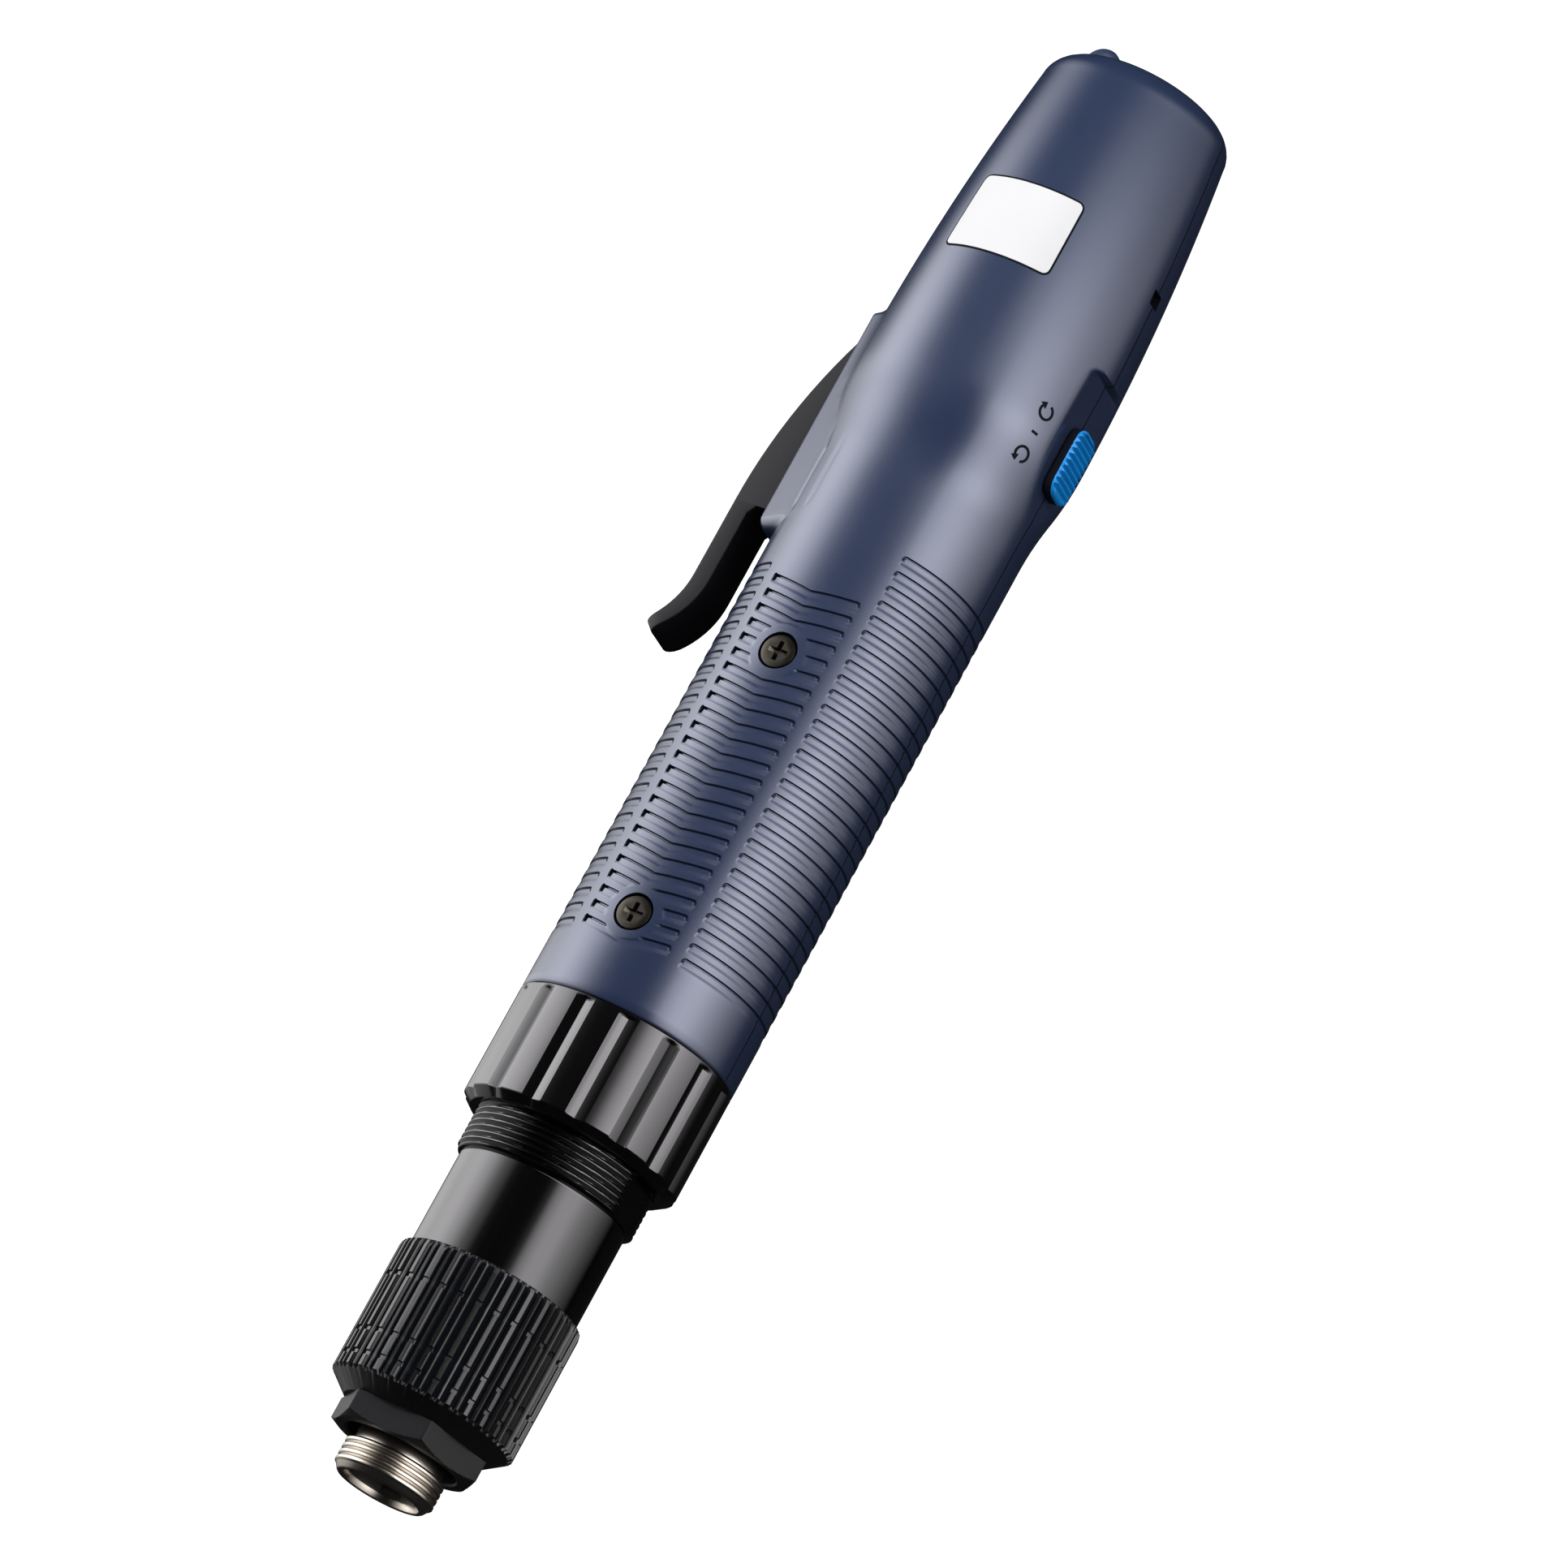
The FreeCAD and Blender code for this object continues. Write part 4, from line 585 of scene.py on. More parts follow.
CREASE_REACH, CREASE_DEPTH, CREASE_IN, CREASE_OUT = 0.035, 0.22, (163, 166), (197, 200)
SWEEP_IN, SWEEP_OUT = (80, 87), (162.5, 169)
FRONT_BEVEL = 0.35
TAIL_FACE = (9, 6, 3)
FLAT_START, FLAT_END, FLAT_HEIGHT, FLAT_HALF, FLAT_CORNER = 170.9, 204.9, 18.2, 7.6, 4.0


def bow(run, rise):
    """Radius of the arc that leaves a line smoothly and rises by rise over run."""
    return (run * run + rise * rise) / (2 * rise)


def drop(run, radius):
    """Fall of an arc of that radius at a distance from its top."""
    return radius - np.sqrt(radius ** 2 - run ** 2)


def shell_radius(x):
    """Outer radius of the housing, grip to tail."""
    half, rise = (BELLY_PLACE - GRIP_END) / 2, (BELLY - GRIP) / 2
    flare = bow(half, rise)
    middle = GRIP_END + half
    tail = bow(TAIL_PLACE - BELLY_PLACE, BELLY - TAIL)
    rising = GRIP + drop(np.clip(x - GRIP_END, 0, half), flare)
    cresting = BELLY - drop(np.clip(BELLY_PLACE - x, 0, half), flare)
    falling = BELLY - drop(np.clip(x - BELLY_PLACE, 0, TAIL_PLACE - BELLY_PLACE), tail)
    return np.where(x < middle, rising, np.where(x < BELLY_PLACE, cresting, falling))


def sweep(crown):
    """How far a groove has run to the rear at an angle from the crown, in degrees."""
    away = np.abs(crown)
    return np.where(away < CHEVRON_EDGE, CHEVRON_SWEEP * away / CHEVRON_EDGE,
                    CHEVRON_SWEEP + (SIDE_SHIFT - CHEVRON_SWEEP) * ramp(away, CHEVRON_EDGE, SIDE_EDGE))


def groove_depth(x, crown):
    """Depth of the grip's pockets, with sloped rear walls, and of the pits at the crown's lever ends."""
    along = x - sweep(crown) - CHEVRON_START
    row = np.ceil(along / GROOVE_PITCH - 1e-6)
    ahead = row * GROOVE_PITCH - along
    away = np.abs(crown)
    arc = math.radians(1) * GRIP
    side_rows = np.where(crown < 0, LEVER_GROOVES, SLIDER_GROOVES)
    on_crown = away < (CHEVRON_EDGE + SIDE_EDGE) / 2
    rows = np.where(on_crown, CHEVRONS, side_rows)
    inside = np.where(on_crown, CHEVRON_EDGE - away, away - SIDE_EDGE) * arc
    near = (ahead < POCKET_ROUND) & (inside < POCKET_ROUND)
    corner = np.hypot(POCKET_ROUND - ahead, POCKET_ROUND - inside)
    edge = np.where(near, POCKET_ROUND - corner, np.minimum(ahead, inside))
    on_lever_end = on_crown & (crown < 0)
    scoop = SCOOP_DEPTH * (1 - ramp(inside, *SCOOP_ACROSS)) * (1 - ramp(ahead, *SCOOP_ALONG)) * on_lever_end
    floor = ramp(edge, *LINE_WALL) * (1 - ramp(ahead, *POCKET_SLOPE))
    line = ramp(edge, *LINE_WALL) * (1 - ramp(edge, *LINE_FADE))
    depth = (POCKET_DEPTH + scoop) * floor + LINE_DEPTH * line * (1 - ramp(ahead, *LINE_ALONG))
    pit = np.hypot(np.maximum(np.abs(ahead - PIT_PLACE) - PIT_REACH, 0), inside - PIT_RADIUS)
    depth = depth + PIT_DEPTH * (1 - ramp(pit, PIT_RADIUS * 0.75, PIT_RADIUS)) * on_lever_end
    for place in SCREW_PLACES:
        clear = np.hypot(x - place, GRIP * np.sin(np.radians(crown))) - ISLAND
        depth = depth * np.where(on_crown, ramp(clear, 0, 0.3), 1)
    return np.where((row >= 0) & (row < rows) & (inside > 0), depth, 0)


def soft_lower(one, other, blend):
    """The lower of two, rounded where they cross."""
    mix = np.clip(0.5 + 0.5 * (other - one) / blend, 0, 1)
    return other * (1 - mix) + one * mix - blend * mix * (1 - mix)


def hump_radius(x, turn):
    """Radius of the lever's hump with its sloping flanks."""
    front = np.clip((x - HUMP_START) / HUMP_FRONT_ROUND, 0, 1)
    loss = HUMP_FRONT_DROP * (1 - np.sqrt(1 - (1 - front) ** 2)) + np.maximum(x - HUMP_SLOPE_START, 0)
    lean = math.atan2(HUMP_TOP - HUMP_FOOT[0], HUMP_FOOT[1] - HUMP_HALF)
    flat = (HUMP_TOP - loss) / np.maximum(np.cos(turn), LEAST_COS)
    plane = HUMP_TOP * math.cos(lean) + HUMP_HALF * math.sin(lean)
    flank = (plane - loss) / np.maximum(np.cos(turn - lean), LEAST_COS)
    return np.where((x >= HUMP_START) & (turn < math.radians(60)), soft_lower(flat, flank, HUMP_BLEND), 0)


def flat_limit(x, turn, radius):
    """Radius of the slider's flat where it cuts the shell."""
    height = np.abs(radius * np.sin(turn))
    corner = np.maximum(height - (FLAT_HALF - FLAT_CORNER), 0)
    end = FLAT_END - FLAT_CORNER + np.sqrt(np.maximum(FLAT_CORNER ** 2 - corner ** 2, 0))
    here = ramp(end - x, 0, 0.5) * ramp(x, FLAT_START, FLAT_START + 1)
    limit = FLAT_HEIGHT / np.maximum(-np.cos(turn), LEAST_COS)
    cut = np.maximum(radius - limit, 0) * here
    return radius - np.where((np.cos(turn) < 0) & (height < FLAT_HALF), cut, 0)


def shell_rows():
    """Angles from the crown, lever side first, closer together where the form turns."""
    middle = [*np.arange(0, 15.5, 0.75), 16.5, 18, 20, 22, 23.2,
              *np.arange(23.7, 26.4, 0.25), 27.5, 29, 31, 32.2, *np.arange(32.6, 35.2, 0.4)]
    slider = [*np.arange(37, 88, 2.2), 88, 89, SEAM, 90]
    lever = [37, 39, 40.5, *np.arange(41.3, 46, 0.6), 46.8, 48.5, *np.arange(51, 66, 3), 67, 68.5,
             *np.arange(69.4, 74, 0.7), *range(75, 88, 2), 88.6, SEAM, 90]
    return np.array([-angle for angle in reversed(middle[1:] + lever)] + middle + slider)


def shell_columns():
    """Places along the axis, closer together at groove walls and ends."""
    front = [HOUSE_FRONT, HOUSE_FRONT + 0.15, HOUSE_FRONT + 0.4, 80, 82, 84, 85.6, 86.6]
    walls = [CHEVRON_START + GROOVE_PITCH * row for row in range(SLIDER_GROOVES)]
    grooves = [wall - step for wall in walls for step in GROOVE_STEPS]
    body = [162.0, 162.4, 162.9, 163.6, 164.6, *np.arange(166, 200, 1.5), *np.arange(200.2, 205.8, 0.3),
            *np.arange(206.5, TAIL_PLACE - 1, 2.2), TAIL_PLACE]
    return np.array(front + grooves + body)


def outer_grid():
    crown = shell_rows()[:, None]
    x = shell_columns()[None, :]
    x = x + sweep(crown) * ramp(x, *SWEEP_IN) * (1 - ramp(x, *SWEEP_OUT))
    crown = np.broadcast_to(crown, x.shape)
    turn = np.radians(crown + 90)
    radius = shell_radius(x) - groove_depth(x, crown)
    radius = flat_limit(x, turn, radius)
    hump = hump_radius(x, turn)
    crease = np.exp(-((hump - radius) / CREASE_REACH) ** 2)
    crease = crease * ramp(x, *CREASE_IN) * (1 - ramp(x, *CREASE_OUT))
    radius = -soft_lower(-radius, -hump, FOOT_BLEND) - CREASE_DEPTH * crease
    radius = radius - FRONT_BEVEL * (1 - ramp(x, HOUSE_FRONT - 0.3, HOUSE_FRONT + 0.45))
    radius[[0, -1]] -= PARTING
    arcs = np.radians(np.linspace(0, 90, 9)[1:])
    end_x = [*(TAIL_PLACE + TAIL_ROUND * np.sin(arcs)), *[REAR] * len(TAIL_FACE)]
    end_radius = [*(TAIL - TAIL_ROUND * (1 - np.cos(arcs))), *TAIL_FACE]
    x = np.hstack([x, np.tile(end_x, (len(x), 1))])
    radius = np.hstack([radius, np.tile(end_radius, (len(x), 1))])
    return spun(x, radius, turn[:, :1])


def inner_grid():
    bore, end = GRIP - SHELL_WALL, REAR - REAR_WALL
    profile = [(HOUSE_FRONT, LIP), (LIP_END, LIP), (LIP_END, bore), (GRIP_END, bore),
               (BELLY_PLACE, BELLY - SHELL_WALL), (end, TAIL - SHELL_WALL), (end, 6)]
    return spun(*np.array(profile).T, np.radians(np.linspace(0, 180, 37))[:, None])


def half_shell():
    """Closed upper half: outer and inner skins, a rim at the front and one along the parting plane."""
    outer, inner = outer_grid(), inner_grid()
    rows, columns = outer.shape[:2]
    inner_rows, inner_columns = inner.shape[:2]
    first = rows * columns
    pole = first + inner_rows * inner_columns
    points = outer.reshape(-1, 3).tolist() + inner.reshape(-1, 3).tolist()
    points += [(REAR, 0, 0), (REAR - REAR_WALL, 0, 0)]
    faces = grid_faces(rows, columns) + grid_faces(inner_rows, inner_columns, first)
    for row in range(rows - 1):
        faces.append(((row + 1) * columns - 1, (row + 2) * columns - 1, pole))
    for row in range(inner_rows - 1):
        end = first + (row + 1) * inner_columns - 1
        faces.append((end, end + inner_columns, pole + 1))
    front = [row * columns for row in range(rows)]
    faces.append((*front, *[first + row * inner_columns for row in reversed(range(inner_rows))]))
    for row, inner_row in ((0, 0), (rows - 1, inner_rows - 1)):
        edge = range(row * columns, (row + 1) * columns)
        back = range(first + inner_row * inner_columns, first + (inner_row + 1) * inner_columns)
        faces.append((*edge, pole, pole + 1, *reversed(back)))
    return points, faces


LEVER_SLOT = (164.6, 202.0)
SLOT_HALF, SLOT_LEAD = 4.95, 0.35
STEM_SLOT = (184.3, 195.5)
STEM_HALF = 2.3
CUT_FLOOR, CUT_PAST = 9, -1
REAR_CUT = (REAR - 5, REAR + 2)
SCREW_SEAT = 16.8
SCREW_HOLE, HEAD_HOLE = 1.55, 3.15
SOCKET_HOLE = 6.5
EAR_SIDE, EAR_HALF, EAR_THICK, EAR_ROOM = 9.2, 3.1, 1.75, 0.02
NOTCH, NOTCH_HALF = (219.45, 221.95), 1.6


def shell_cutters():
    """What is cut through the upper half: lever and stem slots, screw wells, socket, ear slot, pry notch."""
    lead, top = HUMP_TOP - SLOT_LEAD, HUMP_TOP + 0.4
    slot = [(CUT_FLOOR, CUT_PAST), (CUT_FLOOR, SLOT_HALF), (lead, SLOT_HALF),
            (top, SLOT_HALF + top - lead), (top, CUT_PAST)]
    well = ((CUT_FLOOR, SCREW_HOLE), (SCREW_SEAT, SCREW_HOLE), (SCREW_SEAT, HEAD_HOLE), (22, HEAD_HOLE))
    ear = (EAR_SIDE - EAR_HALF - EAR_ROOM, EAR_SIDE + EAR_HALF + EAR_ROOM)
    return gather(stack([[(x, y, z) for y, z in slot] for x in LEVER_SLOT]),
                  block(STEM_SLOT, (-30, -CUT_FLOOR), (CUT_PAST, STEM_HALF)),
                  *[stack([ring((place, 0, level), radius, Z) for level, radius in well])
                    for place in SCREW_PLACES],
                  stack([ring((x, SOCKET_SIDE, 0), SOCKET_HOLE, X, 64) for x in REAR_CUT]),
                  block(REAR_CUT, ear, (CUT_PAST, EAR_THICK + EAR_ROOM)),
                  block(NOTCH, (-19.5, -17.2), (CUT_PAST, NOTCH_HALF)))


def in_shade(mesh):
    """Which faces get painted shade: those inside the parting seam, the pry notch, a screw well or a pit of
    the crown.
    """
    x, y, z = centres(mesh)
    radius, crown = np.hypot(y, z), np.degrees(np.arctan2(y, np.abs(z)))
    deep = (radius < GRIP - PIT_EDGE) & (radius > GRIP - SHELL_WALL + 0.2)
    pit = deep & (x > HOUSE_FRONT) & (x < GRIP_END) & (crown > PIT_SPAN[0]) & (crown < PIT_SPAN[1])
    from_screw = np.min([np.hypot(x - place, y) for place in SCREW_PLACES], axis=0)
    well = (from_screw < HEAD_HOLE + 0.02) & (np.abs(z) > SCREW_SEAT - 0.1)
    notch = (x > NOTCH[0] - 0.01) & (x < NOTCH[1] + 0.01) & (np.abs(z) < NOTCH_HALF + 0.01) & (y < 0)
    notch &= (radius < shell_radius(x) - 0.1) & (radius > shell_radius(x) - SHELL_WALL + 0.1)
    return pit | well | notch | (np.abs(z) < SEAM_HALF)


def make_housing():
    upper = add_mesh("upper_shell", half_shell())
    cut_away(upper, shell_cutters(), sharp=28)
    lower = add_object("lower_shell", upper.data.copy())
    mirror(lower.data)
    for half, node in ((upper, "housing_upper"), (lower, "housing_lower")):
        dress(half, "base", "housing_blue", node)
        # The seam, notch, screw wells and crown pits are painted dark as shade.
        finish_faces(half, ("painted_shade_dark", in_shade(half.data)))


# Housing screws

HEAD, SHANK = 2.85, 1.25
HEAD_TOP = SCREW_SEAT + 1.0
SCREW_TIP = SCREW_SEAT - 2.5
CROSS_SPAN, CROSS_ARM = 1.75, 0.42


def cross(place, level, scale):
    """Outline of a cross recess."""
    corners = []
    for quarter in range(4):
        turn = Matrix.Rotation(math.pi / 2 * quarter, 2)
        for corner in ((CROSS_SPAN, -CROSS_ARM), (CROSS_SPAN, CROSS_ARM), (CROSS_ARM, CROSS_ARM)):
            point = turn @ (Vector(corner) * scale)
            corners.append((place + point.x, point.y, level))
    return corners


def make_housing_screws():
    heads, recesses = [], []
    for place in SCREW_PLACES:
        steps = ((SCREW_TIP, SHANK), (SCREW_SEAT, SHANK), (SCREW_SEAT, HEAD - 0.1), (SCREW_SEAT + 0.1, HEAD),
                 (HEAD_TOP - 0.3, HEAD), (HEAD_TOP - 0.1, HEAD - 0.12), (HEAD_TOP, HEAD - 0.4))
        heads.append(stack([ring((place, 0, level), radius, Z, 40) for level, radius in steps]))
        recesses.append(stack([cross(place, HEAD_TOP + 0.3, 1.1), cross(place, HEAD_TOP - 0.75, 0.55)]))
    screws = add_mesh("cross_head_screws", gather(*heads))
    cut_away(screws, gather(*recesses), sharp=35)
    others = screws.data.copy()
    mirror(others)
    work = bmesh.new()
    work.from_mesh(screws.data)
    work.from_mesh(others)
    work.to_mesh(screws.data)
    work.free()
    bpy.data.meshes.remove(others)
    dress(screws, "base", "screw_dark", "housing_screws")


# Start lever

PIVOT = (198.5, 17.8)
BOSS = 3.2
LEVER_HALF = 4.65
ARM = PIVOT[0] - 33.0
PADDLE_TOP, PADDLE_UNDER = 27.0, 24.0
FLAT = ARM - 1.5
CURL = FLAT - 12.4
TIP_RISE, TIP_RUN = 3.8, 9.5
TIP_THICK = 2.0
ARM_FLOOR = 15.2
HEEL = (PIVOT[0] - BOSS / 2, PIVOT[1] + 3.52)
LEVER_EDGE = 0.22
TIP_ROUND, TIP_SPREAD = 1.5, 0.999
PIN_HOLE = 1.55


def lever_stations():
    """Pairs of (top, underside) points from the tip to the pivot boss."""
    tip_radius = bow(TIP_RUN, TIP_RISE)
    lean, upright = TIP_RUN / tip_radius, (tip_radius - TIP_RISE) / tip_radius
    inner_run = TIP_RUN + TIP_THICK * lean
    inner_rise = PADDLE_TOP + TIP_RISE - TIP_THICK * upright - PADDLE_UNDER
    inner_radius = bow(inner_run, inner_rise)
    pairs = []
    for share in (1, 0.99, 0.96, 0.92, 0.86, 0.8, 0.7, 0.6, 0.5, 0.4, 0.3, 0.2, 0.1, 0):
        top = (CURL - TIP_RUN * share, PADDLE_TOP + drop(TIP_RUN * share, tip_radius))
        under = (CURL - inner_run * share, PADDLE_UNDER + drop(inner_run * share, inner_radius))
        pairs.append((top, under))
    pairs += [((FLAT, PADDLE_TOP), (FLAT, PADDLE_UNDER)), ((ARM, PADDLE_TOP), (ARM, PADDLE_UNDER - 1)),
              ((ARM + 0.02, PADDLE_TOP), (ARM + 0.02, ARM_FLOOR))]
    crest = bow(HEEL[0] - ARM, PADDLE_TOP - HEEL[1])
    boss_floor = PIVOT[1] - BOSS
    for share in np.linspace(0.08, 1, 12):
        x = ARM + (HEEL[0] - ARM) * share
        floor = ARM_FLOOR + (boss_floor - ARM_FLOOR) * (x - ARM) / (PIVOT[0] - ARM)
        pairs.append(((x, PADDLE_TOP - drop(x - ARM, crest)), (x, floor)))
    slant = BOSS * math.sqrt(0.5)
    for x in (PIVOT[0], PIVOT[0] + 1.2, PIVOT[0] + slant, PIVOT[0] + 2.8, PIVOT[0] + 3.1):
        lid = HEEL[1] + (PIVOT[1] + slant - HEEL[1]) * (x - HEEL[0]) / (PIVOT[0] + slant - HEEL[0])
        half = math.sqrt(BOSS ** 2 - (x - PIVOT[0]) ** 2)
        pairs.append(((x, min(lid, PIVOT[1] + half) if x > PIVOT[0] + slant else lid), (x, PIVOT[1] - half)))
    return pairs


def make_start_lever():
    loops = []
    tip = CURL - TIP_RUN
    for top, under in lever_stations():
        top, under = Vector(top), Vector(under)
        height = (top - under).length
        past = min(max(top.x - tip, 0), TIP_ROUND)
        half = LEVER_HALF - TIP_ROUND + math.sqrt(TIP_ROUND ** 2 - (TIP_ROUND - past) ** 2) * TIP_SPREAD
        edge = min(LEVER_EDGE, 0.3 * height)
        outline = soften([(-half, 0), (half, 0), (half, height), (-half, height)], edge)
        rise = (top - under).normalized()
        loops.append([(*(under + rise * up), side) for side, up in outline])
    lever = add_mesh("moulded_start_lever", stack(loops))
    cutter = stack([ring((*PIVOT, side * LEVER_HALF * 1.5), PIN_HOLE, Z, 32) for side in (-1, 1)])
    cut_away(lever, cutter, sharp=42)
    dress(lever, "lever", "lever_grey", "start_lever")


# Direction slider

SLIDER_FLOOR, SLIDER_HEIGHT = 18.5, 2.0
SLIDER_HALF_WIDTH, SLIDER_CORNER, SLIDER_EDGE = 3.5, 2.4, 0.75
SLIDER_RIBS, SLIDER_RIB_DEPTH, SLIDER_RIB_FLANK, SLIDER_RIB_FADE = 10, 0.58, (0.1, 0.8), (0.02, 0.3)
SLIDER_PHASE, SLIDER_PLAIN, SLIDER_BLUE_DEPTH = 0.75, 0.7, 1.1
STEM_REACH = (1.5, 2.0)
STEM_DEPTH = 3.7


def make_direction_slider():
    middle, half = (SLIDER_FRONT + SLIDER_REAR) / 2, (SLIDER_REAR - SLIDER_FRONT) / 2
    pitch = 2 * half / (SLIDER_RIBS + 1)
    across = np.array([*np.linspace(-1, -0.8, 5), *np.linspace(-0.7, 0.7, 15), *np.linspace(0.8, 1, 5)])
    along = np.linspace(-1, 1, 113)
    z = across[:, None] * SLIDER_HALF_WIDTH
    corner = np.maximum(np.abs(z) - (SLIDER_HALF_WIDTH - SLIDER_CORNER), 0)
    length = half - SLIDER_CORNER + np.sqrt(np.maximum(SLIDER_CORNER ** 2 - corner ** 2, 0))
    x = along[None, :] * length
    z = np.broadcast_to(z, x.shape)
    inset = np.minimum(length - np.abs(x), SLIDER_HALF_WIDTH - np.abs(z))
    crown = SLIDER_EDGE * (1 - np.sqrt(np.clip(1 - (1 - np.clip(inset / SLIDER_EDGE, 0, 1)) ** 2, 0, 1)))
    wave = np.abs(2 * np.mod((x + half) / pitch - SLIDER_PHASE, 1) - 1)
    rib = SLIDER_RIB_DEPTH * (1 - ramp(wave, *SLIDER_RIB_FLANK)) * ramp(inset, *SLIDER_RIB_FADE)
    rib = np.where((x > -half + SLIDER_PLAIN * pitch) & (x < half - SLIDER_PLAIN * pitch), rib, 0)
    y = -(SLIDER_FLOOR + SLIDER_HEIGHT - crown - rib)
    rows, columns = x.shape
    top = np.stack([x + middle, y, z], axis=2).reshape(-1, 3).tolist()
    loop = border(rows, columns)
    floor = [(top[index][0], -SLIDER_FLOOR, top[index][2]) for index in loop]
    first = len(top)
    foot = tuple(range(first, first + len(loop)))
    faces = grid_faces(rows, columns) + band(loop, foot) + [foot]
    stem = block((middle - STEM_REACH[0], middle + STEM_REACH[0]),
                 (STEM_DEPTH - SLIDER_FLOOR, -SLIDER_FLOOR - 0.3), (-STEM_REACH[1], STEM_REACH[1]))
    slider = add_mesh("ribbed_direction_slider", gather((top + floor, faces), stem), sharp=45)
    dress(slider, "slider", "slider_blue", "direction_slider")
    # The slider's lower walls get painted shade, standing for the dark gap round the blue cap.
    dark = -centres(slider.data)[Y] < SLIDER_FLOOR + SLIDER_HEIGHT - SLIDER_BLUE_DEPTH
    finish_faces(slider, ("painted_shade_dark", dark))


# Hanging ear

EAR_HOLE, HOLE_ROUND, EAR_POINTS = 1.25, 0.6, 72
EAR_FOOT = REAR - REAR_WALL - 2.0


def make_hang_ear():
    centre = EAR_TIP - EAR_HALF
    cos, sin = np.cos(turns(EAR_POINTS)), np.sin(turns(EAR_POINTS))
    tongue = np.minimum(EAR_HALF / np.maximum(np.abs(sin), 1e-6),
                        (centre - EAR_FOOT) / np.maximum(-cos, 1e-6))
    outline = np.where(cos < 0, tongue, EAR_HALF)
    levels = ((-EAR_THICK, 0.35), (-EAR_THICK + 0.1, 0.1), (-EAR_THICK + 0.35, 0),
              (EAR_THICK - 0.35, 0), (EAR_THICK - 0.1, 0.1), (EAR_THICK, 0.35))
    loops = [(level, outline - inset) for level, inset in levels]
    loops += [(level, EAR_HOLE + inset * HOLE_ROUND) for level, inset in reversed(levels)]
    points = []
    for level, radius in loops:
        points += zip(centre + radius * cos, EAR_SIDE + radius * sin, [level] * EAR_POINTS)
    faces = grid_faces(len(loops), EAR_POINTS, close_rows=True, close_columns=True)
    ear = add_mesh("rounded_hang_ear", (points, faces), sharp=45)
    dress(ear, "base", "housing_blue", "hang_ear")


# Bare label with a painted shadow round its edge, and rotation marks finished in painted shade

LABEL = (212.0, 225.2)
LABEL_SPAN = (-29.5, 27.7)
LABEL_ROUND, LABEL_SHADOW_WIDTH = 1.0, 0.35
LABEL_LEVELS, LABEL_SHADOW_LEVELS = (-0.04, 0.09), (-0.05, 0.03)


def curved_patch(limits, span, corner, foot, top):
    """Thin rounded sheet that follows the housing about its crown."""
    radius = float(shell_radius(np.array(sum(limits) / 2)))
    arc = radius * math.radians(span[1] - span[0]) / 2
    middle = math.radians(span[0] + span[1]) / 2
    edge = corner * np.array([0, 0.08, 0.2, 0.4, 0.65, 1])
    straight = np.linspace(corner - arc, arc - corner, 24)[1:-1]
    around = np.array([*(edge - arc), *straight, *(arc - edge[::-1])])[:, None]
    away = np.maximum(np.abs(around) - (arc - corner), 0)
    inset = corner - np.sqrt(np.maximum(corner ** 2 - away ** 2, 0))
    share = np.linspace(0, 1, 17)[None, :]
    x = limits[0] + inset + (limits[1] - limits[0] - 2 * inset) * share
    turn = np.broadcast_to(around / radius + middle, x.shape)
    points = []
    for lift in (top, foot):
        height = shell_radius(x) + lift
        sheet = np.stack([x, -height * np.sin(turn), height * np.cos(turn)], axis=2)
        points += sheet.reshape(-1, 3).tolist()
    first = x.size
    loop = border(*x.shape)
    sides = band(loop, [first + corner for corner in loop])
    return points, grid_faces(*x.shape) + grid_faces(*x.shape, first) + sides


def make_label():
    shadow_limits = (LABEL[0] - LABEL_SHADOW_WIDTH, LABEL[1] + LABEL_SHADOW_WIDTH)
    radius = float(shell_radius(np.array(sum(LABEL) / 2)))
    shadow_turn = math.degrees(LABEL_SHADOW_WIDTH / radius)
    shadow_span = (LABEL_SPAN[0] - shadow_turn, LABEL_SPAN[1] + shadow_turn)
    # A dark sheet a little larger than the label, under it, paints the shadow round the label's edge.
    rim = add_mesh("painted_label_shadow", curved_patch(shadow_limits, shadow_span, LABEL_ROUND + LABEL_SHADOW_WIDTH, *LABEL_SHADOW_LEVELS))
    dress(rim, "base", "painted_shade_dark")
    label = add_mesh("bare_label", curved_patch(LABEL, LABEL_SPAN, LABEL_ROUND, *LABEL_LEVELS))
    dress(label, "base", "label_white")


MARK_ANGLE = 58.5
MARKS = (185.6, 193.3)
TICK, TICK_HALF = 189.5, 0.6
MARK_RADIUS = 1.2
MARK_WIDTH = 0.42
MARK_HEIGHT, MARK_FOOT = 0.07, -0.05
ARROW_TURN, ARROW_POINTS = (160, -125), 25
ARROW_AHEAD, ARROW_WIDTHS = (-0.1, 0.45, 0.85), (1.3, 0.65, 0.04)


def on_shell(along, around, lift):
    """Point on the housing at a place along it and a distance round it from the marks' line."""
    radius = float(shell_radius(np.array(along))) + lift
    turn = math.radians(90 + MARK_ANGLE) + around / radius
    return along, radius * math.cos(turn), radius * math.sin(turn)


def stroke(path, widths):
    """Raised line of changing width along a path of (along, around) points."""
    loops = []
    for index, (point, width) in enumerate(zip(path, widths)):
        before, after = Vector(path[max(index - 1, 0)]), Vector(path[min(index + 1, len(path) - 1)])
        heading = (after - before).normalized()
        side = Vector((-heading.y, heading.x)) * width / 2
        left, right = Vector(point) + side, Vector(point) - side
        loops.append([on_shell(*left, MARK_HEIGHT), on_shell(*right, MARK_HEIGHT),
                      on_shell(*right, MARK_FOOT), on_shell(*left, MARK_FOOT)])
    return stack(loops)


